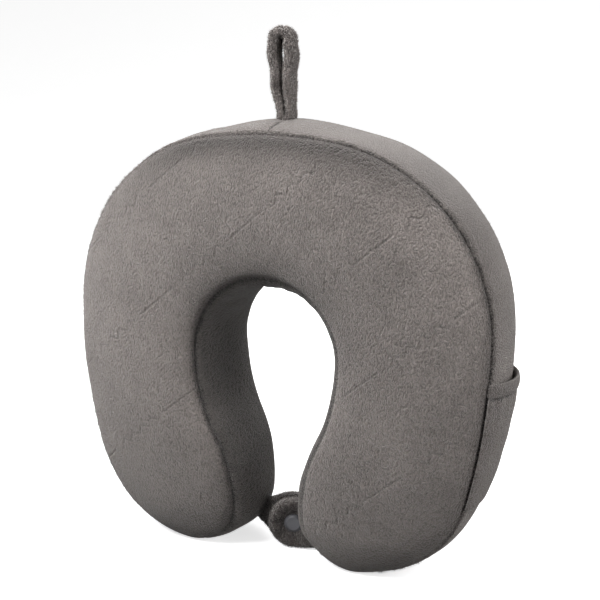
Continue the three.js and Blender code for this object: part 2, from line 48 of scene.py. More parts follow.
GAP = 0.3
NAPE_RADIUS, NAPE_ANGLE = 300, 7.6
HALF_WIDTH = 139
FLANK_RADIUS, FLANK_ANGLE = 390, 14.5
TIP_RADIUS = 72.5
INNER_CONVEX_RADIUS, INNER_CONCAVE_RADIUS, INNER_ANGLE = 103, 115, 27.3
NECK_RADIUS = 47.7
SEAM_LIFT = 0.8
NAPE_DEPTH, FLANK_DEPTH_DROP, TIP_DEPTH_DROP, TIP_DROP_HEIGHT = 36.8, 11, 15, 133
CROWN_HEIGHT, CROWN_PER_WIDTH, CROWN_POWER = 12, 0.14, 0.7
OUTER_BULGE, NAPE_BULGE, INNER_BULGE, TIP_BULGE = 4.3, 8, 3, 2.4
PLUSH_THICKNESS, LINER_INSET, FOAM_INSET = 2.2, 2.7, 3.8
INNER_LAG = 1.45
STRAP_CENTRE_Z, STRAP_WIDTH, STRAP_THICKNESS, STRAP_STRAIGHT, STRAP_BEND = 17.3, 33, 4, 9, 11
STRAP_ROOTS, STRAP_SPACING, ROOT_REACH = {"left": (-30, 27), "right": (27, 10.5)}, 4.4, 4
SNAP_X, SNAP_Y, SNAP_TURN = 6.5, 2, 14
CAP_RADIUS, CAP_HEIGHT, POST_RADIUS = 6.2, 1.7, 1.5
SOCKET_RADIUS, SOCKET_NECK, SOCKET_WELL, NUB_RADIUS = 5.6, 3.6, 2.6, 2.1
LOOP_HEIGHT, LOOP_SHIFT, LOOP_FOOT = 53.5, -3, 3.8
ZIP_START, ZIP_END, TAPE_WIDTH, TOOTH_HALF, COIL_INSET = 14, 86, 11, 2.2, 1.2
TAPE_SINK, TAPE_THICKNESS, COIL_THICKNESS, STOP_SWEEP = 0.9, 0.9, 1.6, 1
SLIDER_ANGLE, SLIDER_SWEEP, SLIDER_HALF, SLIDER_HEIGHT = 79, 5, 3.4, 2.2
ARCH_SWEEP, ARCH_HALF, ARCH_HEIGHT, EYE_BELOW = 3.2, 0.7, 2.6, 1.5
PULL_WIDTH, PULL_LENGTH = 5.4, 22
POCKET_TOP, POCKET_BOTTOM = 0.565, 0.767
LABEL_TOP, LABEL_BOTTOM, LABEL_FRONT, LABEL_BACK = 0.8, 0.855, 0.5, 0.94

# ---------------------------------------------------------------- dimensions of the soft shapes alone

SEAM_ROLL, SEAM_ROLL_WIDTH = 1.7, 1.6  # how deep the cloth turns in at a seam, and over what distance
INNER_PUFF, PUFF_WIDTH = 2.2, 1.8  # how far the inner wall swells past its seams, and over what distance
PANEL_SWELL, WALL_SWELL, POCKET_SWELL = (34, 0.9), (26, 0.7), (18, 0.7)  # size and height of the unevenness
UNDERSIDE = 9  # added to the distance from a seam on the back of a sheet, which shows no dark seam line
SLOT_HALF, SLOT_ROWS = 7.5, 14  # the gap between the plush edges over the zip, and the grid lines beside it
LINER_THICKNESS, TAPE_CLOTH = 0.5, 0.6
STITCH_PITCH, TOOTH_PITCH = 3.1, 1.5
LOOP_WIDTH, LOOP_THICKNESS, LOOP_TWIST = 17, 7.0, 14
LOOP_HALF_BASE, LOOP_HALF_SHUT, LOOP_HALF_EYE, LOOP_HALF_TOP = 2.7, 3.8, 5.4, 4.7  # from the foot upwards
LOOP_LEAN = (-1.9, -2.3, -0.9)  # sideways: all of it, from the foot to the middle, and from there to the top
POCKET_STAND, MOUTH_PULL = 3.1, 0.4  # how far the mouth stands out, and how far the elastic pulls it back
POCKET_EDGE, POCKET_UNDER = 0.975, 0.04  # the sides' place, and how far on they run under the seam
HEM_SHARE, HEM_THICKNESS, HEM_HALF_SPAN = 0.1, 2.3, 27
STRAP_SHORT = 3.2  # how far short of the unswollen wall the tabs end
STRAP_PUFF, STRAP_PUFF_INSIDE, STRAP_RIM = 5.2, 2.7, 3.4  # the padding on each face, and the edges' rounding
PINCH_REACH, TUCKS = 9.2, 7  # the hollow round the snap, and the tucks that run out of it
STRAP_WAIST = {"left": 0.45, "right": 0.12}  # how much narrower a tab is at its root
STRAP_SHADE = {"left": 0.22, "right": 1.0}  # how light the pile is painted: the left tab hangs in shade, so its pile is painted dark
PANEL_PILE, WALL_PILE = (1.5, 1.5, 0.24), (1.4, 2.0, 0.28)  # loose fibres to a square mm, length, radius
LOOP_PILE, TAB_PILE = (2.4, 1.7, 0.27), (2.4, 1.6, 0.27)

# ---------------------------------------------------------------- the seam outline


def outline_arcs():
    """The right half outline as arcs: radius, turning sense, first heading, length, centre x and z."""
    nape, flank, waist = (math.radians(a) for a in (NAPE_ANGLE, FLANK_ANGLE, INNER_ANGLE))
    shoulder_radius = (HALF_WIDTH - NAPE_RADIUS * math.sin(nape)) / (1 - math.sin(nape))
    tip_x = HALF_WIDTH - FLANK_RADIUS * (1 - math.cos(flank)) - TIP_RADIUS * math.cos(flank)
    waist_shift = (INNER_CONVEX_RADIUS + INNER_CONCAVE_RADIUS) * (1 - math.cos(waist))
    quarter = math.pi / 2
    turns = [
        (NAPE_RADIUS, nape, 1),
        (shoulder_radius, quarter - nape, 1),
        (FLANK_RADIUS, flank, 1),
        (TIP_RADIUS, quarter - flank, 1),
        (tip_x - NECK_RADIUS + waist_shift, quarter, 1),
        (INNER_CONVEX_RADIUS, waist, 1),
        (INNER_CONCAVE_RADIUS, waist, -1),
        (NECK_RADIUS, quarter, -1),
    ]
    x = z = heading = 0.0
    arcs = []
    for radius, angle, sense in turns:
        cx = x - sense * radius * math.sin(heading)
        cz = z - sense * radius * math.cos(heading)
        arcs.append([radius, sense, heading, radius * angle, cx, cz])
        heading += sense * angle
        x = cx + sense * radius * math.sin(heading)
        z = cz + sense * radius * math.cos(heading)
    lowest = arcs[3][5] - arcs[3][0]
    for arc in arcs:
        arc[5] += SEAM_LIFT - lowest
    return arcs


ARCS = outline_arcs()
OUTER_LENGTH = sum(arc[3] for arc in ARCS[:4])
INNER_LENGTH = sum(arc[3] for arc in ARCS[4:])
SHOULDER_RADIUS, SHOULDER_X, SHOULDER_Z = ARCS[1][0], ARCS[1][4], ARCS[1][5]
NAPE_TOP = ARCS[0][5] + NAPE_RADIUS


def along_arcs(arcs, distance):
    """Points and outward normals, as x, z, nx, nz, at distances along a list of arcs."""
    distance = np.asarray(distance, float)
    ends = np.cumsum([arc[3] for arc in arcs])
    which = np.minimum(np.searchsorted(ends, distance), len(arcs) - 1)
    radius, sense, first, length, cx, cz = (np.array(column)[which] for column in zip(*arcs))
    heading = first + sense * (distance - ends[which] + length) / radius
    nx, nz = np.sin(heading), np.cos(heading)
    return cx + sense * radius * nx, cz + sense * radius * nz, nx, nz


def outer_seam(s):
    return along_arcs(ARCS[:4], np.asarray(s) * OUTER_LENGTH)


def inner_seam(s):
    return along_arcs(ARCS[4:], (1 - np.asarray(s) ** INNER_LAG) * INNER_LENGTH)


def seam_depth(x, z):
    low = np.maximum(1 - z / TIP_DROP_HEIGHT, 0)
    return NAPE_DEPTH - FLANK_DEPTH_DROP * (x / HALF_WIDTH) ** 2 - TIP_DEPTH_DROP * low ** 2


def smooth(x, low, high):
    t = np.clip((x - low) / (high - low), 0, 1)
    return t * t * (3 - 2 * t)


def bump_at(values, place, width):
    """1 at a place, falling to nothing on both sides of it."""
    return np.exp(-(((values - place) / width) ** 2))


# ---------------------------------------------------------------- the cover's faces


def panel_painted_light(s, u, chord):
    """Painted shade on the panel's pile: a band below the top seam, one round the hole's top, and the low
    arms.
    """
    outer, inner = u * chord, (1 - u) * chord
    below_seam = 0.74 * bump_at(outer, 3, 12) * (1 - smooth(s, 0.1, 0.36))
    round_hole = 0.36 * bump_at(inner, 2, 14) * (1 - smooth(s, 0.3, 0.6))
    low = 0.56 * smooth(s, 0.62, 1.0)
    return 1 - below_seam - round_hole - low


def wall_painted_light(s, v, outer):
    """Painted light on a wall's pile: outside, painted shade at the nape that lifts down the flank; inside,
    painted shade but for the front at the arm's end.
    """
    if outer:
        return 0.68 + 0.32 * smooth(s, 0.25, 0.6)
    return 0.50 + 0.75 * smooth(s, 0.80, 0.97) * smooth(-v, -0.6, 0.6)


def roll(distance):
    return SEAM_ROLL * np.exp(-np.maximum(distance, 0) / SEAM_ROLL_WIDTH)


def unevenness(points, size, amount):
    """Smooth random swellings of about a size, the same on every run."""
    flat = points.reshape(-1, 3) / size
    values = [noise.noise(Vector(p)) for p in flat]
    return amount * np.array(values).reshape(points.shape[:-1])


def panel_points(s, u, inset, facing, rolled=True):
    """Points of the front (facing -1) or back (+1) panel of the right half; u is 0 at the outer seam."""
    ox, oz, onx, onz = outer_seam(s)
    ix, iz, inx, inz = inner_seam(s)
    chord = np.hypot(ox - ix, oz - iz)
    out, inn = rolled * roll(u * chord), rolled * roll((1 - u) * chord)
    ox, oz = ox - inset * onx, oz - inset * onz
    ix, iz = ix - inset * inx, iz - inset * inz
    crown = np.minimum(CROWN_HEIGHT, CROWN_PER_WIDTH * chord)
    base = seam_depth(ox, oz) * (1 - u) + seam_depth(ix, iz) * u - inset
    depth = base + crown * (4 * u * (1 - u)) ** CROWN_POWER - out - inn
    x = ox * (1 - u) + ix * u - out * onx - inn * inx
    z = oz * (1 - u) + iz * u - out * onz - inn * inz
    return np.stack([x, facing * depth, np.maximum(z, inset)], -1)


def off_seam(seam, out, y):
    """Points at a distance out from a seam's line in the XZ plane, at y."""
    x, z, nx, nz = seam
    return np.stack(np.broadcast_arrays(x + out * nx, y, z + out * nz), -1)


def outer_bulge(s):
    flank = OUTER_BULGE + (TIP_BULGE - OUTER_BULGE) * smooth(s, 0.55, 0.95)
    return NAPE_BULGE + (flank - NAPE_BULGE) * smooth(s, 0, 0.13)


def inner_bulge(s):
    return INNER_BULGE + (TIP_BULGE - INNER_BULGE) * smooth(s, 0.78, 1)


def wall_points(s, v, inset, outer, rolled=True):
    """Points of the right outer or inner wall; v is -1 at the front seam and +1 at the back one."""
    x, z, nx, nz = outer_seam(s) if outer else inner_seam(s)
    bulge = outer_bulge(s) if outer else inner_bulge(s)
    run = s * OUTER_LENGTH if outer else s ** INNER_LAG * INNER_LENGTH
    left = (OUTER_LENGTH if outer else INNER_LENGTH) - run
    depth = seam_depth(x, z)
    edge = rolled * roll((1 - np.abs(v)) * depth)
    join = rolled * 0.5 * roll(np.minimum(run, left))
    bow = bulge * (1 - v * v) - inset - edge - join
    y = v * (depth - inset) - np.sign(v) * edge
    return np.stack([x + bow * nx, y, np.maximum(z + bow * nz, inset)], -1)


def mirrored(points):
    return points * np.array([-1, 1, 1])


def whole(half):
    """A grid of points over both halves of the body, from the right half's."""
    return np.concatenate([mirrored(half[:0:-1]), half])


def doubled(values):
    """The same for values that both halves share."""
    return np.concatenate([values[:0:-1], values])


def towards_edges(count, low=0.0, high=1.0):
    """Numbers from low to high, closer together at both ends."""
    t = 0.5 - 0.5 * np.cos(np.pi * np.linspace(0, 1, count + 1))
    return low + (high - low) * t


ZIP_RADIUS = SHOULDER_RADIUS + OUTER_BULGE
TAPE_FACE = ZIP_RADIUS - TAPE_SINK


def shoulder_station(angle):
    """The station of the outer seam at an angle, in degrees from straight up, on the shoulder arc."""
    past_nape = math.radians(angle - NAPE_ANGLE)
    return (ARCS[0][3] + SHOULDER_RADIUS * past_nape) / OUTER_LENGTH


def on_shoulder(angle, radius, y):
    """Points over the left shoulder, at angles in degrees from straight up."""
    turn = np.radians(angle)
    x = -SHOULDER_X - radius * np.sin(turn)
    z = SHOULDER_Z + radius * np.cos(turn)
    return np.stack(np.broadcast_arrays(x, y, z), -1)


# ---------------------------------------------------------------- meshes


def smooth_mesh(name, points, faces, material):
    """A smooth-shaded object in the scene, from points in millimetres."""
    mesh = bpy.data.meshes.new(name)
    mesh.from_pydata((np.asarray(points) * MM).tolist(), [], [list(map(int, f)) for f in faces])
    mesh.update()
    mesh.polygons.foreach_set("use_smooth", [True] * len(mesh.polygons))
    mesh.materials.append(material)
    obj = bpy.data.objects.new(name, mesh)
    bpy.context.collection.objects.link(obj)
    return obj


def mesh_object(name, points, faces, material, body, replaces=None, attributes=None):
    """A piece that rides on a CAD body and may stand for a CAD node."""
    obj = smooth_mesh(name, points, faces, material)
    for key, values in (attributes or {}).items():
        layer = obj.data.attributes.new(key, "FLOAT", "POINT")
        layer.data.foreach_set("value", np.asarray(values, np.float32).ravel())
    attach(obj, body)
    if replaces:
        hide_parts(replaces)
    return obj


def cloth_attributes(distance, run, nap):
    """What the plush reads at each point of a sheet, its painted light last: first all the points of its
    face, then of its back.
    """
    distances = np.stack([distance, distance + UNDERSIDE])
    return {"seam_distance": distances, "seam_run": np.stack([run, run]), "nap": np.stack([nap, nap])}


def grid_faces(rows, columns, closed_rows=False, closed_columns=False):
    """Quads over a grid of points, whose rows or columns may close on themselves."""
    r = np.arange(rows if closed_rows else rows - 1)
    c = np.arange(columns if closed_columns else columns - 1)
    r, c = np.meshgrid(r, c, indexing="ij")
    below, beside = (r + 1) % rows * columns, (c + 1) % columns
    return np.stack([r * columns + c, r * columns + beside, below + beside, below + c], -1).reshape(-1, 4)


def shell(outer, inner, keep=None):
    """Points and faces of a closed sheet between two equal grids; keep marks the cells that exist."""
    rows, columns = outer.shape[:2]
    count = rows * columns
    cells = grid_faces(rows, columns)
    if keep is not None:
        cells = cells[keep.ravel()]
    edges = np.concatenate([cells[:, [k, (k + 1) % 4]] for k in range(4)])
    keys = edges[:, 0] * count + edges[:, 1]
    alone = ~np.isin(keys, edges[:, 1] * count + edges[:, 0])
    first, last = edges[alone].T
    sides = np.stack([last, first, first + count, last + count], -1)
    faces = np.concatenate([cells, cells[:, ::-1] + count, sides])
    points = np.concatenate([outer.reshape(-1, 3), inner.reshape(-1, 3)])
    return points, outward(points, faces)


def outward(points, faces):
    """The same faces, turned over if they enclose a negative volume."""
    a, b, c, d = (points[faces[:, k]] for k in range(4))
    volume = (a * np.cross(b, c)).sum() + (a * np.cross(c, d)).sum()
    return faces if volume > 0 else faces[:, ::-1]


def tube(rings):
    """Points and faces of a closed skin over rings of points, with a fan at each end."""
    rings = np.asarray(rings)
    count, size = rings.shape[:2]
    points = np.concatenate([rings.reshape(-1, 3), [rings[0].mean(0)], [rings[-1].mean(0)]])
    first, last, hub = np.arange(size), (count - 1) * size + np.arange(size), count * size
    low = np.stack([np.roll(first, -1), first, np.full(size, hub), np.full(size, hub)], -1)
    high = np.stack([last, np.roll(last, -1), np.full(size, hub + 1), np.full(size, hub + 1)], -1)
    faces = outward(points, np.concatenate([grid_faces(count, size, closed_columns=True), low, high]))
    return points, [list(dict.fromkeys(f)) for f in faces.tolist()]


def joined(tubes):
    """The points and faces of one mesh from many tubes of equal size."""
    points, faces = [], []
    for rings in tubes:
        more, quads = tube(rings)
        faces += [[i + len(points) * len(more) for i in f] for f in quads]
        points.append(more)
    return np.concatenate(points), faces


def oval(count, across_power=1.0, up_power=1.0):
    """A ring of (across, up) pairs from -1 to 1: round at powers of 1, squarer at smaller ones."""
    turn = np.linspace(0, 2 * np.pi, count, endpoint=False)
    c, s = np.cos(turn), np.sin(turn)
    return np.sign(c) * np.abs(c) ** across_power, np.sign(s) * np.abs(s) ** up_power


# ---------------------------------------------------------------- materials


class Nodes:
    """A material's node tree, with one short call for each kind of node."""

    def __init__(self, name, rough, metallic=0.0):
        self.material = bpy.data.materials.new(name)
        self.material.use_nodes = True
        self.tree = self.material.node_tree
        self.shader = self.tree.nodes["Principled BSDF"]
        self.shader.inputs["Roughness"].default_value = rough
        self.shader.inputs["Metallic"].default_value = metallic

    def new(self, kind, inputs=None, **settings):
        node = self.tree.nodes.new(kind)
        for key, value in settings.items():
            setattr(node, key, value)
        for key, value in (inputs or {}).items():
            if isinstance(value, bpy.types.NodeSocket):
                self.tree.links.new(value, node.inputs[key])
            else:
                node.inputs[key].default_value = value
        return node

    def math(self, operation, a, b=0.0, c=0.0):
        return self.new("ShaderNodeMath", {0: a, 1: b, 2: c}, operation=operation).outputs[0]

    def plus(self, first, *others):
        for other in others:
            first = self.math("ADD", first, other)
        return first

    def times(self, first, *others):
        for other in others:
            first = self.math("MULTIPLY", first, other)
        return first

    def ramp(self, value, low, high, start=0.0, end=1.0):
        inputs = {"Value": value, "From Min": low, "From Max": high, "To Min": start, "To Max": end}
        return self.new("ShaderNodeMapRange", inputs, interpolation_type="SMOOTHSTEP").outputs[0]

    def millimetres(self, stretch=(1, 1, 1)):
        """Object coordinates in millimetres, scaled along each axis."""
        place = self.new("ShaderNodeTexCoord").outputs["Object"]
        scale = tuple(k / MM for k in stretch)
        return self.new("ShaderNodeVectorMath", {0: place, 1: scale}, operation="MULTIPLY").outputs[0]

    def noise(self, place, scale, detail=2.0, rough=0.5):
        inputs = {"Vector": place, "Scale": scale, "Detail": detail, "Roughness": rough}
        return self.new("ShaderNodeTexNoise", inputs).outputs["Fac"]

    def attribute(self, name):
        return self.new("ShaderNodeAttribute", attribute_name=name).outputs["Fac"]

    def mix(self, share, dark, light):
        """A colour between two, each a triple or the output of another node."""
        node = self.tree.nodes.new("ShaderNodeMix")
        node.data_type = "RGBA"
        for socket, value in ((node.inputs[0], share), (node.inputs[6], dark), (node.inputs[7], light)):
            if isinstance(value, bpy.types.NodeSocket):
                self.tree.links.new(value, socket)
            else:
                socket.default_value = (*value, 1)
        return node.outputs[2]

    def colour(self, socket):
        self.tree.links.new(socket, self.shader.inputs["Base Color"])

    def roughness(self, socket):
        self.tree.links.new(socket, self.shader.inputs["Roughness"])

    def bump(self, height, distance, strength=1.0):
        """height is in millimetres times distance."""
        inputs = {"Height": height, "Distance": distance * MM, "Strength": strength}
        socket = self.new("ShaderNodeBump", inputs).outputs[0]
        self.tree.links.new(socket, self.shader.inputs["Normal"])

    def sheen(self, weight, rough, tint):
        self.shader.inputs["Sheen Weight"].default_value = weight
        self.shader.inputs["Sheen Roughness"].default_value = rough
        self.shader.inputs["Sheen Tint"].default_value = (*tint, 1)


MOTIF_TURN, ROW_SPACING, ROW_START, ROW_STAGGER = math.radians(39.5), 57.5, -2, 28
MOTIF_PERIOD, MOTIF_START, LINE_LENGTH = 83, 6, 30
WAVES_START, WAVES_END, WAVE_LENGTH, WAVE_HEIGHT = 37, 77, 10, 1.8


def motif_depth(n):
    """The pressed pattern: slanting rows of thin lines and small waves, 1 where it is deepest."""
    place = n.new("ShaderNodeSeparateXYZ", {0: n.millimetres()})
    x, z = place.outputs["X"], place.outputs["Z"]
    cos, sin = math.cos(MOTIF_TURN), math.sin(MOTIF_TURN)
    across = n.math("SUBTRACT", n.times(z, cos), n.times(x, sin))
    shifted = n.math("SUBTRACT", across, ROW_START - ROW_SPACING / 2)
    row = n.math("FLOOR", n.math("DIVIDE", shifted, ROW_SPACING))
    off = n.math("SUBTRACT", n.math("FLOORED_MODULO", shifted, ROW_SPACING), ROW_SPACING / 2)
    along = n.plus(n.times(x, cos), n.times(z, sin))
    stagger = n.times(n.math("FLOORED_MODULO", row, 2), ROW_STAGGER)
    from_start = n.math("SUBTRACT", n.math("SUBTRACT", along, stagger), MOTIF_START)
    t = n.math("FLOORED_MODULO", from_start, MOTIF_PERIOD)
    line = n.ramp(n.math("ABSOLUTE", off), 0.2, 1.2, 1, 0)
    line = n.times(line, n.ramp(t, LINE_LENGTH - 1, LINE_LENGTH, 1, 0))
    swing = n.times(n.math("SINE", n.times(t, 2 * math.pi / WAVE_LENGTH)), WAVE_HEIGHT)
    wave = n.ramp(n.math("ABSOLUTE", n.math("SUBTRACT", off, swing)), 0.4, 1.6, 1, 0)
    inside = n.times(n.math("GREATER_THAN", t, WAVES_START), n.math("LESS_THAN", t, WAVES_END))
    return n.math("MAXIMUM", line, n.times(wave, inside))


# The argument after the colours stretches the pile along each axis; the sheet attribute read below holds
# painted light and shade.
def plush(name, dark, light, nap=(1, 1, 1), pressed=False, seams=True, depth=0.5, shaded=True, sheen=0.5):
    """Short-pile velour: ripples of pile combed one way, brushed patches, a soft sheen, pressed seams, and
    painted shade from the sheet, darkest in the seams' creases.
    """
    n = Nodes(name, 0.88)
    n.sheen(sheen, 0.38, (0.95, 0.90, 0.87))
    warp = {"Vector": n.millimetres(), "Scale": 0.25, "Detail": 2.0}
    warp = n.new("ShaderNodeTexNoise", warp).outputs["Color"]
    shift = n.new("ShaderNodeVectorMath", {0: warp, 1: (1.6, 1.6, 1.6)}, operation="MULTIPLY").outputs[0]
    place = n.new("ShaderNodeVectorMath", {0: n.millimetres(nap), 1: shift}, operation="ADD").outputs[0]
    pile = n.noise(place, 1.35, 2.0, 0.5)
    fibre = n.noise(n.millimetres(tuple(2.6 * k for k in nap)), 1.3, 1.0, 0.5)
    clump = n.noise(n.millimetres(), 0.11, 3.0, 0.6)
    patch = n.noise(n.millimetres(), 0.02, 2.0, 0.5)
    share = n.ramp(pile, 0.36, 0.64)
    for layer, weight in ((fibre, 0.45), (clump, 0.22), (patch, 0.38)):
        share = n.plus(share, n.times(n.ramp(layer, 0.3, 0.7), weight))
    share = n.math("DIVIDE", share, 2.05)
    height = n.plus(n.ramp(pile, 0.3, 0.7), n.times(fibre, 0.5))
    # painted light, read from the sheet: 1 where fully lit, lower where shade is painted
    lightness = n.attribute("nap") if shaded else None
    if seams:
        # painted shade in each seam's crease: the colour runs to the shadow colour at the seam line, with a
        # ragged edge
        ragged = n.ramp(clump, 0.3, 0.7, -0.7, 0.5)
        edge = n.plus(n.attribute("seam_distance"), ragged, n.ramp(pile, 0.3, 0.7, -0.9, 0.9))
        lightness = n.times(lightness, n.ramp(edge, 0.0, 2.4, 0.12, 1))
        stitches = n.math("SINE", n.times(n.attribute("seam_run"), 2 * math.pi / STITCH_PITCH))
        pucker = n.times(stitches, n.ramp(edge, 0.3, 3.5, 0.16, 0))
        height = n.plus(height, n.times(pucker, n.ramp(clump, 0.35, 0.6, 0.2, 1.4)))
    if pressed:
        motif = motif_depth(n)
        height = n.math("SUBTRACT", height, n.times(motif, 0.75))
        lightness = n.times(lightness, n.math("SUBTRACT", 1.0, n.times(motif, 0.16)))
    colour = n.mix(share, dark, light)
    # painted shade: where the painted light is low, the colour is mixed towards a near-black shadow colour
    if shaded:
        colour = n.mix(lightness, tuple(0.08 * k for k in dark), colour)
    n.colour(colour)
    n.bump(height, depth)
    return n.material


def loose_pile(name, root, tip):
    """Single fibres of pile, dark at the root and catching the light at the tip."""
    n = Nodes(name, 0.7)
    n.sheen(0.4, 0.3, (1.0, 0.95, 0.92))
    tone = n.noise(n.millimetres(), 0.8, 2.0)
    n.colour(n.mix(n.times(n.attribute("tip"), n.ramp(tone, 0.3, 0.7, 0.55, 1)), root, tip))
    return n.material


def knit(name, dark, light, pitch, depth=0.12):
    """Thin knitted or woven cloth: ribs one way crossed by rows the other way."""
    n = Nodes(name, 0.85)
    n.sheen(0.25, 0.4, (1, 1, 1))
    place = n.new("ShaderNodeSeparateXYZ", {0: n.millimetres()}).outputs
    ribs = n.math("SINE", n.times(n.plus(place["X"], place["Y"]), 2 * math.pi / pitch))
    rows = n.math("SINE", n.times(place["Z"], 2 * math.pi / pitch))
    weave = n.math("MULTIPLY_ADD", n.times(ribs, rows), 0.5, 0.5)
    soil = n.noise(n.millimetres(), 0.05, 3.0)
    share = n.plus(n.times(weave, 0.6), n.times(n.ramp(soil, 0.3, 0.7), 0.4))
    n.colour(n.mix(share, dark, light))
    n.bump(weave, depth)
    return n.material


def foam_material():
    n = Nodes("foam", 0.9)
    pores = n.new("ShaderNodeTexVoronoi", {"Vector": n.millimetres(), "Scale": 0.9}).outputs["Distance"]
    tone = n.noise(n.millimetres(), 0.03, 3.0)
    share = n.times(n.ramp(pores, 0.05, 0.4), n.ramp(tone, 0.2, 0.8, 0.75, 1))
    n.colour(n.mix(share, (0.55, 0.48, 0.36), (0.80, 0.74, 0.60)))
    n.bump(n.ramp(pores, 0.0, 0.35), 0.3)
    return n.material


def moulded(name, dark, light, rough):
    """Moulded plastic with a fine spark-eroded grain and rubbed high spots."""
    n = Nodes(name, rough)
    grain = n.noise(n.millimetres(), 3.0, 4.0, 0.6)
    rub = n.noise(n.millimetres(), 0.35, 3.0)
    n.colour(n.mix(n.math("MULTIPLY_ADD", grain, 0.5, n.times(rub, 0.5)), dark, light))
    n.roughness(n.ramp(rub, 0.3, 0.7, rough - 0.07, rough + 0.1))
    n.bump(grain, 0.05)
    return n.material


def plated(name, dark, light, rough):
    """Plated metal with tumbling marks and edges rubbed brighter."""
    n = Nodes(name, rough, 1.0)
    marks = n.noise(n.millimetres((1, 1, 3)), 1.2, 4.0, 0.65)
    edges = n.new("ShaderNodeNewGeometry").outputs["Pointiness"]
    n.colour(n.mix(n.plus(n.times(marks, 0.6), n.ramp(edges, 0.5, 0.6, 0, 0.6)), dark, light))
    n.roughness(n.ramp(marks, 0.3, 0.7, rough - 0.08, rough + 0.12))
    n.bump(marks, 0.04)
    return n.material


PLUSH_DARK, PLUSH_LIGHT = (0.105, 0.091, 0.084), (0.390, 0.343, 0.319)
# painted shade: the inner walls' colours are a darker copy of the panel plush's, for the shade inside the
# hole
INNER_SHADED_DARK, INNER_SHADED_LIGHT = (0.036, 0.031, 0.028), (0.320, 0.282, 0.260)
TRIM_DARK, TRIM_LIGHT = (0.016, 0.013, 0.012), (0.360, 0.314, 0.293)
TAB_DARK, TAB_LIGHT = (0.020, 0.017, 0.015), (0.190, 0.164, 0.153)
HEM_DARK, HEM_LIGHT = (0.075, 0.065, 0.060), (0.290, 0.254, 0.236)

panel_plush = plush("plush_panel", PLUSH_DARK, PLUSH_LIGHT, (1.0, 1.0, 0.5), pressed=True, depth=1.15)
wall_plush = plush("plush_wall", PLUSH_DARK, PLUSH_LIGHT, (0.9, 0.6, 0.9), depth=1.1)
shaded_inner_plush = plush("plush_inner_shaded", INNER_SHADED_DARK, INNER_SHADED_LIGHT, (1.3, 0.3, 0.9), depth=1.0)
trim_plush = plush(
    "plush_trim", TRIM_DARK, TRIM_LIGHT, (0.62, 0.62, 0.45), seams=False, depth=1.5, shaded=False, sheen=0.9
)
tab_plush = plush("plush_tab", TAB_DARK, TAB_LIGHT, (0.7, 0.7, 0.5), seams=False, depth=1.4)
hem_plush = plush("plush_hem", HEM_DARK, HEM_LIGHT, seams=False, depth=1.1, shaded=False)
pile_fibre = loose_pile("pile_fibre", (0.070, 0.061, 0.057), (0.42, 0.37, 0.345))
trim_fibre = loose_pile("trim_fibre", (0.022, 0.019, 0.017), (0.40, 0.352, 0.328))
tab_fibre = loose_pile("tab_fibre", (0.018, 0.015, 0.013), (0.20, 0.175, 0.163))
thread = knit("thread", (0.035, 0.031, 0.029), (0.11, 0.10, 0.092), 0.7, 0.1)
lining = knit("liner_knit", (0.46, 0.45, 0.42), (0.70, 0.69, 0.66), 1.4)
tape_weave = knit("zip_tape_weave", (0.075, 0.069, 0.065), (0.17, 0.158, 0.150), 0.9)
elastic_rib = knit("elastic_rib", (0.012, 0.012, 0.012), (0.05, 0.05, 0.05), 1.2)
label_weave = knit("label_weave", (0.62, 0.61, 0.58), (0.82, 0.81, 0.78), 0.6, 0.05)
foam = foam_material()
snap_plastic = moulded("snap_plastic", (0.040, 0.040, 0.046), (0.075, 0.075, 0.084), 0.42)
coil_nylon = moulded("coil_nylon", (0.06, 0.055, 0.052), (0.13, 0.12, 0.113), 0.4)
gunmetal = plated("gunmetal", (0.16, 0.155, 0.15), (0.42, 0.41, 0.40), 0.34)

# ---------------------------------------------------------------- body: foam, liner and cover

STATIONS = 150  # along each half of the body
PANEL_ROWS, WALL_ROWS = 44, 30
TIP_END, CORE_END = 0.9985, 0.975  # the last stations of the panels, and of the foam and the liner
SEAM_PILE_REACH = 2.6  # how far from a seam loose pile stands up


def inner_layer(inset):
    """A closed ring round the body at each station, at a depth inside the cover's face."""
    s = np.linspace(0, CORE_END, STATIONS)[::2]
    grid, u = np.meshgrid(s, np.linspace(0, 1, 16), indexing="ij")
    front = panel_points(grid, u, inset, -1, rolled=False)
    back = panel_points(grid, u, inset, 1, rolled=False)[:, ::-1]
    grid, v = np.meshgrid(s, np.linspace(-1, 1, 12)[1:-1], indexing="ij")
    inner = wall_points(grid, v, inset, False, rolled=False)
    outer = wall_points(grid, v, inset, True, rolled=False)[:, ::-1]
    return whole(np.concatenate([front, inner, back, outer], 1))


def make_foam():
    points, faces = tube(inner_layer(FOAM_INSET))
    core = mesh_object("foam_core_body", points, faces, foam, "pillow", "foam_core")


def make_liner():
    outer, inner = (inner_layer(inset) for inset in (LINER_INSET, LINER_INSET + LINER_THICKNESS))
    points, faces = shell(*(np.concatenate([grid, grid[:, :1]], 1) for grid in (outer, inner)))
    liner = mesh_object("inner_liner_bag", points, faces, lining, "pillow", "inner_liner")


def unit(vectors):
    return vectors / np.maximum(np.linalg.norm(vectors, axis=-1, keepdims=True), 1e-9)


def grid_normals(grid):
    return unit(np.cross(np.gradient(grid, axis=0), np.gradient(grid, axis=1)))


def swollen(grid, size, amount):
    """The grid moved a little in and out along its own normals, least at its edges."""
    fade = np.sin(np.pi * np.linspace(0, 1, grid.shape[1])) ** 0.5
    moved = grid + grid_normals(grid) * (unevenness(grid, size, amount) * fade)[..., None]
    moved[..., 2] = np.maximum(moved[..., 2], 0)
    return moved


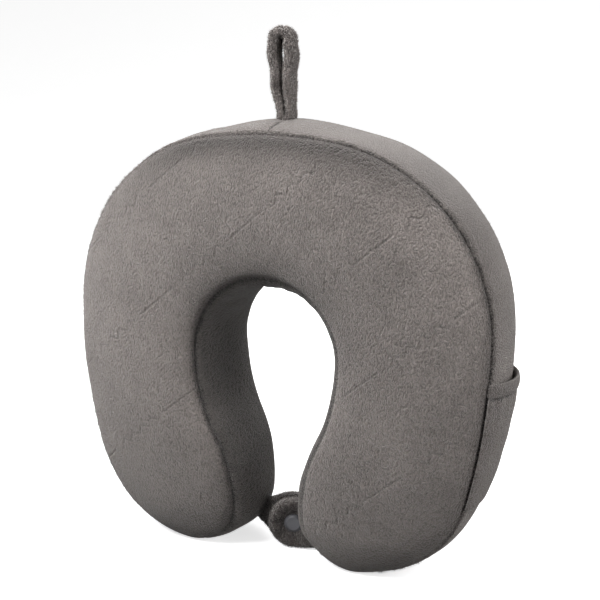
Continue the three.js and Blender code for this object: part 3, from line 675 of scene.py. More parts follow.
def make_panel(name, facing):
    """The front (facing -1) or back (+1) face of the cover, from arm to arm."""
    grid, u = np.meshgrid(np.linspace(0, TIP_END, STATIONS), towards_edges(PANEL_ROWS), indexing="ij")
    face = swollen(whole(panel_points(grid, u, 0, facing)), *PANEL_SWELL)
    back = whole(panel_points(grid, u, PLUSH_THICKNESS, facing, rolled=False))
    points, faces = shell(face, back)
    ox, oz = outer_seam(grid)[:2]
    ix, iz = inner_seam(grid)[:2]
    chord = np.hypot(ox - ix, oz - iz)
    distance = doubled(np.minimum(u, 1 - u) * chord)
    run = doubled(np.where(u < 0.5, grid * OUTER_LENGTH, grid ** INNER_LAG * INNER_LENGTH))
    both = cloth_attributes(distance, run, doubled(panel_painted_light(grid, u, chord)))
    panel = mesh_object(f"{name}_plush", points, faces, panel_plush, "pillow", name, both)
    near = (distance < SEAM_PILE_REACH)[:-1, :-1]
    inside = face * np.array([1, 0, 1])
    make_fuzz(f"pile_{name}", face, inside, near, PANEL_PILE, (0, 0, -0.4), pile_fibre, "pillow")


def wall_puff(s, z, edge):
    """The inner wall swells just behind its seams, most of all over the hole's top and low on the arms."""
    fuller = 1 + 1.2 * (1 - smooth(z, 25, 75)) + 1.0 * (1 - smooth(s, 0.05, 0.25))
    return INNER_PUFF * fuller * (1 - np.exp(-edge / PUFF_WIDTH / fuller)) * smooth(z, 3, 22)


def wall_folds(s, v):
    """Soft creases across the inner wall, where it is bent tightest round the hole and at the arm end."""
    tight = 1 - 0.75 * smooth(s, 0.28, 0.5) + 0.5 * smooth(s, 0.8, 0.95)
    wave = np.sin(s * 61 + 1.8 * v) + 0.6 * np.sin(s * 113 - 2.5 * v + 1)
    creases = sum(np.exp(-(((s - place - 0.008 * v) / 0.005) ** 2)) for place in (0.17, 0.205, 0.235))
    return (0.4 * tight * wave - 0.7 * creases) * (1 - v ** 4)


def wall_lines(slotted):
    """Stations along a wall and lines across it, closer together at its seams and at the zip's slot."""
    ends = towards_edges(STATIONS)
    s = 0.5 * ends + 0.5 * np.linspace(0, 1, STATIONS + 1)
    if not slotted:
        v = towards_edges(WALL_ROWS, -1.0, 1.0)
        return np.meshgrid(s, v, indexing="ij") + [None]
    low, high = (shoulder_station(a) for a in (ZIP_START - 1, ZIP_END + 1))
    near = (s > low) & (s < high)
    s = np.concatenate([s[s < low - 0.004], towards_edges(near.sum(), low, high), s[s > high + 0.004]])
    x, z = outer_seam(s)[:2]
    slot = (SLOT_HALF / seam_depth(x, z))[:, None]
    side = towards_edges(SLOT_ROWS)[None, :]
    middle = np.linspace(-1, 1, 5)[None, 1:-1] * slot
    v = np.concatenate([-1 + (1 - slot) * side, middle, slot + (1 - slot) * side], 1)
    grid = np.broadcast_to(s[:, None], v.shape)
    centre = 0.5 * (s[1:] + s[:-1])
    column = np.arange(v.shape[1] - 1)
    open_rows = (centre > low) & (centre < high)
    open_columns = (column >= SLOT_ROWS) & (column < SLOT_ROWS + 4)
    return grid, v, ~(open_rows[:, None] & open_columns[None, :])


def make_wall(name, outer, flip):
    """An outer or inner wall of the right half, or of the left one if flipped, which has the zip's slot."""
    length = OUTER_LENGTH if outer else INNER_LENGTH
    slotted = outer and flip
    grid, across, keep = wall_lines(slotted)
    face = swollen(wall_points(grid, across, 0, outer), *WALL_SWELL)
    back = wall_points(grid, across, PLUSH_THICKNESS, outer, rolled=False)
    x, z, nx, nz = outer_seam(grid) if outer else inner_seam(grid)
    normal = np.stack([nx, 0 * nx, nz], -1)
    run = grid * length if outer else grid ** INNER_LAG * length
    edge = (1 - np.abs(across)) * seam_depth(x, z)
    distance = np.minimum(edge, np.minimum(run, length - run) + 0.7)
    if not outer:
        face = face + (wall_folds(grid, across) + wall_puff(grid, z, edge))[..., None] * normal
    if slotted:
        low, high = (shoulder_station(a) * length for a in (ZIP_START - 1, ZIP_END + 1))
        past = np.maximum(np.maximum(low - run, run - high), 0)
        beside = np.maximum(np.abs(across) * seam_depth(x, z) - SLOT_HALF, 0)
        to_slot = np.hypot(past, beside)
        turned = 1.5 * np.exp(-to_slot / 1.3) - 0.5 * bump_at(to_slot, 3.5, 2.5)
        face = face - turned[..., None] * normal
        distance = np.minimum(distance, to_slot)
    if flip:
        face, back, normal = mirrored(face), mirrored(back), mirrored(normal)
    points, faces = shell(face, back, keep)
    both = cloth_attributes(distance, run, wall_painted_light(grid, across, outer))
    material = wall_plush if outer else shaded_inner_plush
    wall = mesh_object(f"{name}_plush", points, faces, material, "pillow", name, both)
    if outer:
        near = ((edge < SEAM_PILE_REACH) & (edge > 0.3))[:-1, :-1]
        inside = face - 20 * normal
        make_fuzz(f"pile_{name}", face, inside, near, WALL_PILE, (0, 0, 0), pile_fibre, "pillow")


def make_stitches(name, path, normal, body, length=2.2, radius=0.24):
    """A row of short stitches along a path of points, lying on the cloth whose normals are given."""
    run = np.concatenate([[0], np.cumsum(np.linalg.norm(np.diff(path, axis=0), axis=1))])
    places = np.arange(STITCH_PITCH / 2, run[-1], STITCH_PITCH)

    def at(where, values):
        return np.stack([np.interp(where, run, values[:, k]) for k in range(3)], -1)

    centre = at(places, path)
    along = unit(at(places + 0.5, path) - centre)
    side = unit(np.cross(along, at(places, normal)))
    up = np.cross(side, along)
    t = np.linspace(-1, 1, 6)[:, None, None]
    width = radius * np.sqrt(np.maximum(1 - t ** 4, 0.05))
    c, s = (ring[None, :, None] for ring in oval(6))
    threads = [
        centre[k] + t * length / 2 * along[k] + width * (c * side[k] + s * up[k]) - 0.35 * t ** 2 * up[k]
        for k in range(len(places))
    ]
    points, faces = joined(threads)
    mesh_object(name, points, faces, thread, body)


def make_fuzz(name, grid, away_from, where, pile, comb, material, body):
    """Loose pile on the cells of a grid where it is wanted: tapered fibres that lean along comb."""
    density, length, radius = pile
    rng = np.random.default_rng(len(name) + grid.shape[0] * grid.shape[1])
    a, b, c, d = grid[:-1, :-1], grid[1:, :-1], grid[1:, 1:], grid[:-1, 1:]
    area = np.linalg.norm(np.cross(c - a, d - b), axis=-1) / 2
    many = rng.poisson(area * density * where)
    rows, columns = np.nonzero(many)
    rows, columns = (np.repeat(k, many[rows, columns]) for k in (rows, columns))
    u, v = rng.random(len(rows))[:, None], rng.random(len(rows))[:, None]
    foot = a[rows, columns] * (1 - u) * (1 - v) + b[rows, columns] * u * (1 - v)
    foot = foot + c[rows, columns] * u * v + d[rows, columns] * (1 - u) * v
    normal = grid_normals(grid)[rows, columns]
    centre = np.broadcast_to(away_from, grid.shape)[rows, columns]
    outside = np.sign(((foot - centre) * normal).sum(-1, keepdims=True))
    lean = outside * normal + np.array(comb, float) + rng.normal(0, 0.38, foot.shape)
    lean = unit(lean)
    tall = length * rng.uniform(0.5, 1.15, (len(foot), 1))
    side = np.cross(lean, rng.normal(0, 1, foot.shape))
    side *= radius / np.maximum(np.linalg.norm(side, axis=1, keepdims=True), 1e-9)
    other = np.cross(lean, side)
    foot = foot - 0.25 * outside * normal
    behind = foot - 0.5 * side
    corners = [foot + side, behind + 0.87 * other, behind - 0.87 * other, foot + tall * lean]
    points = np.stack(corners, 1).reshape(-1, 3)
    first = 4 * np.arange(len(foot))[:, None]
    faces = np.concatenate([first + np.array(f) for f in ((0, 1, 3), (1, 2, 3), (2, 0, 3), (2, 1, 0))])
    bright = rng.uniform(0.45, 1.0, len(foot))
    tip = np.stack([0.15 * bright, 0.15 * bright, 0.15 * bright, bright], 1)
    mesh_object(name, points, faces, material, body, attributes={"tip": tip})


def make_seam_threads():
    s = np.linspace(0.002, 0.995, 400)
    for name, seam in (("outer", outer_seam), ("inner", inner_seam)):
        x, z, nx, nz = seam(s)
        sink = SEAM_ROLL + 0.05
        for side, facing in (("front", -1), ("back", 1)):
            path = off_seam((x, z, nx, nz), -sink, facing * (seam_depth(x, z) - sink))
            normal = np.stack([nx, 0 * nx + facing, nz], -1)
            whole = np.concatenate([mirrored(path[::-1]), path])
            whole_normal = np.concatenate([mirrored(normal[::-1]), normal])
            make_stitches(f"stitches_{name}_{side}", whole, whole_normal, "pillow")


# ---------------------------------------------------------------- zip on the left shoulder


def make_tapes():
    """Each tape lies flat beside the teeth and dips under the plush edge it is sewn to."""
    angle = np.linspace(ZIP_START, ZIP_END, 160)[:, None]
    y = np.linspace(TOOTH_HALF * 0.45, TOOTH_HALF + TAPE_WIDTH, 24)[None, :]
    dip = 2.0 * smooth(y, SLOT_HALF - 1.5, SLOT_HALF + 1.5)
    ripple = 0.12 * np.sin(angle * 2.3) * smooth(y, 3, 7)
    for side, sign in (("front", -1), ("rear", 1)):
        top = on_shoulder(angle, TAPE_FACE - dip + ripple, sign * y)
        low = on_shoulder(angle, TAPE_FACE - TAPE_CLOTH - dip + ripple, sign * y)
        points, faces = shell(top, low)
        node = f"zipper_tape_{side}"
        tape = mesh_object(f"zip_tape_{side}", points, faces, tape_weave, "pillow", node)
        stitched, row_angle = sign * (SLOT_HALF - 1.6), np.linspace(ZIP_START, ZIP_END, 200)
        row = on_shoulder(row_angle, TAPE_FACE + 0.1, stitched)
        out = row - on_shoulder(row_angle, 0.0, stitched)
        make_stitches(f"stitches_zip_{side}", row, unit(out), "pillow")


def make_teeth():
    """The moulded coils: one rounded tooth after another, the two sides meshing half a pitch apart."""
    section = np.linspace(0, 2 * np.pi, 8, endpoint=False)
    run = np.linspace(0, 1, 7)
    step = math.degrees(TOOTH_PITCH / ZIP_RADIUS)
    height = 0.35 + 0.5 * np.sin(np.pi * (0.15 + 0.75 * run))
    half = 0.30 * step * (1 - 0.25 * run)
    radius = TAPE_FACE + height[:, None] * (1 + np.sin(section)) - 0.2
    for side, sign, shift in (("front", -1, 0.0), ("rear", 1, 0.5)):
        y = sign * (TOOTH_HALF - run * (TOOTH_HALF + 0.45))
        places = np.arange(ZIP_START + COIL_INSET, ZIP_END - COIL_INSET, step) + shift * step
        points, faces = joined(
            on_shoulder(place + half[:, None] * np.cos(section), radius, y[:, None]) for place in places
        )
        node = f"zipper_coil_{side}"
        mesh_object(f"zip_coil_{side}", points, faces, coil_nylon, "pillow", node)


def rounded_section(half_width, low, high, count=28, power=0.45):
    """A ring of (across, up) pairs: a rectangle with well rounded corners."""
    across, up = oval(count, power, power)
    return half_width * across, (high + low) / 2 + (high - low) / 2 * up


def shoulder_loft(name, from_angle, to_angle, half_width, low, high, body, node, count=14):
    """A metal block with rounded corners and ends, bent round the shoulder."""
    t = np.linspace(-1, 1, count)
    round_off = np.maximum(1 - np.abs(t) ** 8, 0.0) ** 0.5
    angles = (from_angle + to_angle) / 2 + (to_angle - from_angle) / 2 * np.sin(t * np.pi / 2)
    middle = (low + high) / 2
    rings = []
    for angle, share in zip(angles, np.maximum(round_off, 0.55)):
        limits = (middle + (limit - middle) * share for limit in (low, high))
        across, up = rounded_section(half_width * share, *limits)
        rings.append(on_shoulder(angle, up, across))
    points, faces = tube(rings)
    mesh_object(name, points, faces, gunmetal, body, node)


def make_zip_metal():
    seat = TAPE_FACE - TAPE_THICKNESS
    base = seat + COIL_THICKNESS + GAP
    for name, angle in (("top", ZIP_START), ("bottom", ZIP_END - STOP_SWEEP)):
        node = f"zipper_stop_{name}"
        limits = (seat + 0.2, seat + COIL_THICKNESS + 0.9)
        shoulder_loft(f"zip_stop_{name}", angle, angle + STOP_SWEEP, TOOTH_HALF, *limits, "pillow", node)
    half = SLIDER_SWEEP / 2
    limits = (base + 0.4, base + SLIDER_HEIGHT)
    ends = (SLIDER_ANGLE - half, SLIDER_ANGLE + half)
    shoulder_loft("zip_slider_plate", *ends, SLIDER_HALF, *limits, "slider", "zipper_slider", 20)
    across, up = rounded_section(0.5, base - 0.9, base + 1.2, 16)
    for name, side in (("front", -1), ("rear", 1)):
        angles = np.linspace(SLIDER_ANGLE - half * 0.9, SLIDER_ANGLE + half * 0.9, 14)
        points, faces = tube([on_shoulder(a, up, side * (SLIDER_HALF - 0.55) + across) for a in angles])
        mesh_object(f"zip_slider_cheek_{name}", points, faces, gunmetal, "slider")
    make_arch(base)
    make_pull(base + SLIDER_HEIGHT + ARCH_HEIGHT - EYE_BELOW)


def make_arch(base):
    """The bridge on the slider, a bent strip that the pull's bar runs under."""
    foot = base + SLIDER_HEIGHT - 0.6
    across, up = rounded_section(ARCH_HALF, -0.38, 0.38, 14, 0.7)
    rings = []
    for a in np.linspace(0, np.pi, 24):
        lean = np.sign(np.cos(a)) * np.abs(np.cos(a)) ** 0.6 * ARCH_SWEEP / 2 * 0.86
        rise = foot + (ARCH_HEIGHT + 0.35) * np.sin(a) ** 0.55
        tilt = np.degrees(0.8 * np.cos(a) * up / ZIP_RADIUS)
        rings.append(on_shoulder(SLIDER_ANGLE + lean + tilt, rise + up * np.sin(a), across))
    points, faces = tube(rings)
    mesh_object("zip_slider_arch", points, faces, gunmetal, "slider")


def make_pull(pivot_radius):
    """The pull's flat plate: a narrow eye at the arch, widening to a rounded end."""
    pivot = on_shoulder(SLIDER_ANGLE, pivot_radius, 0.0)
    lean = math.radians(90 - SLIDER_ANGLE)
    down = np.array([-math.sin(lean), 0, -math.cos(lean)])
    out = np.array([-math.cos(lean), 0, math.sin(lean)])
    half, reach = PULL_WIDTH / 2, PULL_LENGTH - PULL_WIDTH / 2
    edge = [(half * math.cos(a), reach + half * math.sin(a)) for a in np.linspace(0, np.pi, 24)]
    edge += [(-half, d) for d in np.linspace(reach - 1, 1.2, 10)]
    corner = np.linspace(0.2, np.pi / 2, 6)
    edge += [(-half + 1.2 - 1.2 * math.cos(a), 1.2 - 1.55 * math.sin(a)) for a in corner]
    edge += [(-x, d) for x, d in edge[:23:-1]]
    edge = np.array(edge)
    window = np.array([0.0, 2.3]) + np.array([1.4, 2.1]) * np.stack(oval(len(edge), 0.5, 0.5), -1)
    steps = [(0.0, 0.30), (0.06, 0.48), (0.2, 0.55), (0.8, 0.55), (0.94, 0.48), (1.0, 0.30)]
    rings = []
    for share, lift in steps + [(share, -lift) for share, lift in steps[::-1]]:
        flat = edge + (window - edge) * share
        rings.append(pivot + flat[:, :1] * np.array([0, 1, 0]) + flat[:, 1:] * down + lift * out)
    points = np.concatenate(rings)
    faces = outward(points, grid_faces(len(rings), len(edge), True, True))
    mesh_object("zip_pull_tab", points, faces, gunmetal, "pull", "zipper_pull")


# ---------------------------------------------------------------- phone pocket


def pocket_points(w, v, extra):
    """Points of the pocket: w from the bottom seam (0) to the mouth (1), v across the wall."""
    s = POCKET_BOTTOM + (POCKET_TOP - POCKET_BOTTOM) * w
    across = 1 - (v / POCKET_EDGE) ** 2
    rise = POCKET_STAND * np.sin(np.pi / 2 * w) - MOUTH_PULL * w ** 4
    seam = outer_seam(s)
    bow = outer_bulge(s) * (1 - v * v) + GAP + rise * np.maximum(across, 0) + extra
    return off_seam(seam, bow, v * seam_depth(*seam[:2]))


def make_pocket():
    """An open-topped patch of plush on the right wall, tucked in at its sides and its bottom."""
    half = POCKET_EDGE + POCKET_UNDER
    height = (POCKET_BOTTOM - POCKET_TOP) * OUTER_LENGTH
    w, v = np.meshgrid(towards_edges(60, 0.0, 1 - HEM_SHARE), towards_edges(48, -half, half), indexing="ij")
    x, z = outer_seam(POCKET_BOTTOM + (POCKET_TOP - POCKET_BOTTOM) * w)[:2]
    side = (half - np.abs(v)) * seam_depth(x, z)
    low, high = w * height, (1 - HEM_SHARE - w) * height
    tuck = 0.8 * np.exp(-side / 0.9) + 1.9 * np.exp(-low / 1.5) + 0.7 * np.exp(-high / 1.2)
    gathers = 0.35 * np.sin(v * 17) * smooth(w, 0.55, 0.9)
    face = swollen(pocket_points(w, v, 1.6 - tuck + gathers), *POCKET_SWELL)
    points, faces = shell(face, pocket_points(w, v, -0.1))
    distance = np.minimum(np.minimum(side + 2.2, low), high)
    run = np.where(side < low, low, v * 26)
    # the pocket's painted light is a little lower all over than the wall's
    both = cloth_attributes(distance, run, np.full_like(run, 0.85))
    piece = "phone_pocket_plush"
    pocket = mesh_object(piece, points, faces, wall_plush, "pillow", "phone_pocket", both)
    make_pocket_hem()


def make_pocket_hem():
    """The mouth's hem: plush rolled over a flat elastic, a little gathered by it."""
    v = np.linspace(-POCKET_EDGE - 0.03, POCKET_EDGE + 0.03, 120)
    across, up = oval(28, 0.75, 0.8)
    w = 1 - HEM_SHARE * 0.5 + HEM_SHARE * 0.52 * across
    rings = []
    for place in v:
        gather = 1 + 0.10 * math.sin(place * 21) + 0.06 * math.sin(place * 47 + 1)
        from_end = (v[-1] - abs(place)) * HEM_HALF_SPAN
        middle = 1.15 - 1.6 * math.exp(-from_end / 2)
        rings.append(pocket_points(w, place, middle + HEM_THICKNESS * 0.58 * gather * up))
    points, faces = tube(rings)
    hem = mesh_object("pocket_hem_roll", points, faces, hem_plush, "pillow", "pocket_hem")
    w = np.linspace(1 - HEM_SHARE * 0.85, 1 - HEM_SHARE * 0.15, 10)
    w, v = np.meshgrid(w, v[3:-3], indexing="ij")
    points, faces = shell(pocket_points(w, v, 1.35), pocket_points(w, v, 0.95))
    mesh_object("pocket_elastic_band", points, faces, elastic_rib, "pillow", "pocket_elastic")
    line = (np.full(200, 1 - HEM_SHARE * 1.02), np.linspace(-0.9, 0.9, 200))
    seam = pocket_points(*line, 1.45)
    make_stitches("stitches_pocket_hem", seam, pocket_points(*line, 2.45) - seam, "pillow")


def make_label():
    """A blank woven tag caught in the back seam of the left arm."""
    s, v = np.linspace(LABEL_TOP, LABEL_BOTTOM, 24), np.linspace(LABEL_FRONT, LABEL_BACK, 30)
    s, v = np.meshgrid(s, v, indexing="ij")
    seam = outer_seam(s)
    lift = 0.5 + 0.9 * smooth(LABEL_BACK - v, 0.2, 0.44) ** 2 + 0.25 * np.sin(s * 90) * (LABEL_BACK - v)
    bow = outer_bulge(s) * (1 - v * v)

    def layer(extra):
        return mirrored(off_seam(seam, bow + lift + extra, v * seam_depth(*seam[:2])))

    points, faces = shell(layer(0.35), layer(0.0))
    tag = mesh_object("care_label_tag", points, faces, label_weave, "pillow", "care_label")
    layer(0.35)


# ---------------------------------------------------------------- hanging loop


def twisted(points, centre_y):
    """Points turned about the loop's upright middle line, so that the tape stands a little askew."""
    turn = math.radians(LOOP_TWIST)
    x, y = points[..., 0], points[..., 1] - centre_y
    across = x * math.cos(turn) - y * math.sin(turn)
    along = x * math.sin(turn) + y * math.cos(turn)
    return np.stack([across, along + centre_y, points[..., 2]], -1)


def make_loop():
    """A folded plush tape standing up from the nape seam, its two strands pressed together at the foot."""
    pivot = NAPE_TOP + NAPE_BULGE + GAP + LOOP_FOOT
    bend = LOOP_HEIGHT - LOOP_FOOT - LOOP_HALF_TOP - LOOP_THICKNESS / 2
    rise = np.linspace(-LOOP_FOOT - 0.8, bend, 60)
    gap = LOOP_HALF_BASE + (LOOP_HALF_SHUT - LOOP_HALF_BASE) * smooth(rise / bend, 0.0, 0.4)
    gap = gap + (LOOP_HALF_TOP - LOOP_HALF_SHUT) * smooth(rise / bend, 0.55, 0.8)
    gap = gap + (LOOP_HALF_EYE - LOOP_HALF_TOP) * bump_at(rise / bend, 0.78, 0.13)
    turn = np.linspace(0, np.pi, 44)[1:-1]
    x = np.concatenate([-gap, -LOOP_HALF_TOP * np.cos(turn), gap[::-1]])
    z = np.concatenate([rise, bend + LOOP_HALF_TOP * np.sin(turn) ** 0.7, rise[::-1]])
    foot, middle, top = LOOP_LEAN
    x = x + foot + middle * smooth(z / bend, -0.1, 0.45) + top * smooth(z / bend, 0.55, 1.0)
    dx, dz = np.gradient(x), np.gradient(z)
    size = np.hypot(dx, dz)
    nx, nz = -dz / size, dx / size
    run = np.concatenate([[0], np.cumsum(np.hypot(np.diff(x), np.diff(z)))])
    from_foot = np.minimum(run, run[-1] - run)
    width = LOOP_WIDTH / 2 * (0.86 + 0.14 * smooth(from_foot, 4, 26))
    thick = LOOP_THICKNESS / 2 * (0.74 + 0.26 * smooth(from_foot, 2, 20))
    across, out = oval(44, 0.6, 0.7)
    groove = 0.35 * bump_at(across, 0.72, 0.07) + 0.35 * bump_at(across, -0.72, 0.07)
    rings = []
    for k in range(len(x)):
        wave = 0.15 * math.sin(run[k] * 0.16 + 1)
        sway = 0.5 * math.sin(run[k] * 0.06)
        y = LOOP_SHIFT + sway + across * (width[k] + 0.25 * math.sin(run[k] * 0.31))
        r = (out * (1 - groove)) * thick[k] + wave * (across ** 2) * 0.5
        rings.append(np.stack([x[k] - r * nx[k], y, pivot + z[k] - r * nz[k]], -1))
    rings = np.array(rings)
    rings += 0.3 * unevenness(rings, 4, 1.0)[..., None]
    rings = twisted(rings, LOOP_SHIFT)
    points, faces = tube(rings)
    loop = mesh_object("hang_loop_tape", points, faces, trim_plush, "loop", "hang_loop")
    skin = np.concatenate([rings, rings[:, :1]], 1)
    core = np.broadcast_to(rings.mean(1, keepdims=True), skin.shape)
    make_fuzz("pile_loop", skin, core, True, LOOP_PILE, (0, 0, 0.3), trim_fibre, "loop")
    proud = thick + 0.05
    for name, edge in (("front", -0.74), ("rear", 0.74)):
        path = np.stack([x - proud * nx, LOOP_SHIFT + edge * width, pivot + z - proud * nz], -1)
        normal = np.stack([-nx, 0 * nx, -nz], -1)
        path = twisted(path, LOOP_SHIFT)
        make_stitches(f"stitches_loop_{name}", path[2:-2], normal[2:-2], "loop", 1.9, 0.16)


# ---------------------------------------------------------------- chin straps and snap

ALONG = np.array([math.cos(math.radians(SNAP_TURN)), math.sin(math.radians(SNAP_TURN))])
ACROSS = np.array([-ALONG[1], ALONG[0]])


def strap_line(side, offset):
    """The strap's middle line in plan from the snap's axis to its root: points, and distances along it."""
    sign = 1 if side == "right" else -1
    centre = np.array([SNAP_X, SNAP_Y]) + offset * ACROSS
    bend = centre + STRAP_STRAIGHT * sign * ALONG
    corner = bend + STRAP_BEND * sign * ALONG
    root = np.array(STRAP_ROOTS[side]) + ROOT_REACH * sign * ALONG
    t = np.linspace(0, 1, 40)[:, None]
    curve = (1 - t) ** 2 * bend + 2 * t * (1 - t) * corner + t ** 2 * root
    line = np.concatenate([[centre - 30 * sign * ALONG, centre], curve])
    run = np.concatenate([[0], np.cumsum(np.linalg.norm(np.diff(line, axis=0), axis=1))]) - 30
    return line, run, sign


def strap_end(side, offset, q):
    """How far along the strap each height q may reach before it is STRAP_SHORT of the arm's inner wall."""
    line, run, sign = strap_line(side, offset)
    s = np.linspace(0.6, 0.999, 400)
    x, z, nx = inner_seam(s)[:3]
    wall = np.interp(q + STRAP_CENTRE_Z, z[::-1], (x + (INNER_BULGE - 0.5) * nx)[::-1])
    places = np.linspace(0, run[-1], 200)
    xs = np.interp(places, run, line[:, 0]) * sign
    short = wall - STRAP_SHORT
    return np.array([places[np.argmax(xs > edge)] if (xs > edge).any() else run[-1] for edge in short])


def make_strap(side, offset):
    """A padded plush tab: rolled edges, a pinched hollow round the snap, and a gathered root."""
    line, run, sign = strap_line(side, offset)
    half = STRAP_WIDTH / 2
    facing_out = -sign  # the side the cap is on, along ACROSS
    rows = np.linspace(-1, 1, 64)
    height = half * np.sin(rows * np.pi / 2)
    reach = strap_end(side, offset, height)
    columns = towards_edges(80)
    start = -np.sqrt(np.maximum(half ** 2 - height ** 2, 0.0))
    p = start[:, None] + (reach - start)[:, None] * columns[None, :]
    q = np.broadcast_to(height[:, None], p.shape)
    edge = np.where(p < 0, half - np.hypot(p, q), half - np.abs(q))
    edge = np.maximum(edge, 0)
    centre_distance = np.hypot(p, q)
    angle = np.arctan2(q, p)
    flat = 1 - np.minimum(edge / STRAP_RIM, 1)
    rim = np.sqrt(np.maximum(1 - flat ** 2, 0))
    pinch = np.exp(-((centre_distance / PINCH_REACH) ** 3.2))
    pull = np.cos(angle * TUCKS + 0.6) * bump_at(centre_distance, 11, 3.5)
    waist = 1 - STRAP_WAIST[side] * smooth(p, 4, 26)
    z = STRAP_CENTRE_Z + q * waist
    x = np.interp(p, run, line[:, 0])
    y = np.interp(p, run, line[:, 1])
    ahead_x, ahead_y = (np.interp(p + 0.5, run, k) - np.interp(p - 0.5, run, k) for k in line.T)
    size = np.hypot(ahead_x, ahead_y)
    nx, ny = -ahead_y / size * sign, ahead_x / size * sign
    layers = []
    for way in (1, -1):
        outer_side = way == facing_out
        puff = STRAP_PUFF if outer_side else STRAP_PUFF_INSIDE
        puff = puff * (0.4 + 0.6 * smooth(reach[:, None] - p, 1, 9))
        seat = STRAP_THICKNESS / 2 * pinch + 0.35 * pull * outer_side
        bulge = (puff * (1 - pinch) + seat) * rim
        places = np.stack([x + way * bulge * nx, y + way * bulge * ny, z], -1)
        swell = unevenness(places, 9, 0.5) * rim * (1 - pinch)
        places[..., 0] += way * swell * nx
        places[..., 1] += way * swell * ny
        layers.append(places)
    points, faces = shell(*layers)
    # painted shade in the hollow round the snap, darkest close to the cap, on top of the tab's own painted
    # shade
    hollow = 0.72 * np.exp(-((centre_distance / 9.5) ** 4))
    shade = STRAP_SHADE[side] * (1 - hollow)
    core = (layers[0] + layers[1]) / 2
    off_cap = (centre_distance > 7.5)[:-1, :-1]
    for label, layer in zip(("front", "rear"), layers):
        name, comb = f"pile_strap_{side}_{label}", (-0.2, 0, -0.5)
        make_fuzz(name, layer, core, off_cap, TAB_PILE, comb, tab_fibre, f"strap_{side}")
    both = {"nap": np.stack([shade, shade])}
    node = f"strap_{side}"
    strap = mesh_object(f"{node}_tab", points, faces, tab_plush, node, node, both)


def make_loop_root():
    """Gathered plush where the loop comes out of the nape seam, sewn to the pillow."""
    c, s = oval(40, 0.6, 0.8)
    rings = []
    for height in np.linspace(-2.2, 2.6, 12):
        swell = math.sqrt(max(1 - (height / 2.9) ** 2, 0.02)) if height > 0 else 1.0
        y = LOOP_SHIFT + LOOP_WIDTH / 2 * 0.9 * swell * c
        x = -1.0 + 3.9 * swell * s * (1 - 0.3 * np.abs(s) ** 10 * np.cos(y * 1.3))
        rings.append(np.stack([x, y, NAPE_TOP + NAPE_BULGE + height + 0 * x], -1))
    points, faces = tube(rings)
    mesh_object("loop_root", points, faces, trim_plush, "pillow")


def make_strap_root(side, nap):
    """Gathered plush where a strap comes out of the arm's inner wall, sewn to the pillow."""
    sign = 1 if side == "right" else -1
    depth = STRAP_ROOTS[side][1]
    stations = np.linspace(0.80, 0.985, 160)
    z = inner_seam(stations)[1]
    half = STRAP_WIDTH / 2
    stations = stations[(z > STRAP_CENTRE_Z - half + 4) & (z < STRAP_CENTRE_Z + half - 10)]
    x, z, nx, nz = inner_seam(stations)
    size = 3.4 * np.sqrt(np.maximum(1 - np.linspace(-1, 1, len(x)) ** 2, 0.01))
    front = seam_depth(x, z)
    wall = inner_bulge(stations) * (1 - (depth / front) ** 2) + wall_puff(stations, z, front - depth)
    c, s = oval(40)
    rings = []
    for k in range(len(x)):
        y = depth + size[k] * (1 + 0.12 * math.sin(k * 1.9)) * c
        rings.append(off_seam((x[k], z[k], nx[k], nz[k]), wall[k] + size[k] * 0.7 * s, y))
    points, faces = tube(np.array(rings) * np.array([sign, 1, 1]))
    # painted shade: the roots' pile is painted darker, the left one most
    shade = {"nap": np.full(len(points), nap)}
    mesh_object(f"strap_root_{side}", points, faces, tab_plush, "pillow", attributes=shade)


def lathe_at_snap(name, profile, flip, body, node):
    """A turned piece on the snap's axis from (radius, height) pairs; flip turns it to the front."""
    out = np.array([*ACROSS, 0]) * (-1 if flip else 1)
    c, s = oval(64)
    circle = c[:, None] * np.array([*ALONG, 0]) + s[:, None] * np.array([0, 0, 1.0])
    centre = np.array([SNAP_X, SNAP_Y, STRAP_CENTRE_Z])
    points, faces = tube([centre + h * out + max(r, 0.02) * circle for r, h in profile])
    mesh_object(name, points, faces, snap_plastic, body, node)


def rounded_corner(r, h, radius, first, last, count=5):
    """Profile points round a corner centre, from one angle to another in degrees."""
    return [
        (r + radius * math.cos(math.radians(a)), h + radius * math.sin(math.radians(a)))
        for a in np.linspace(first, last, count)
    ]


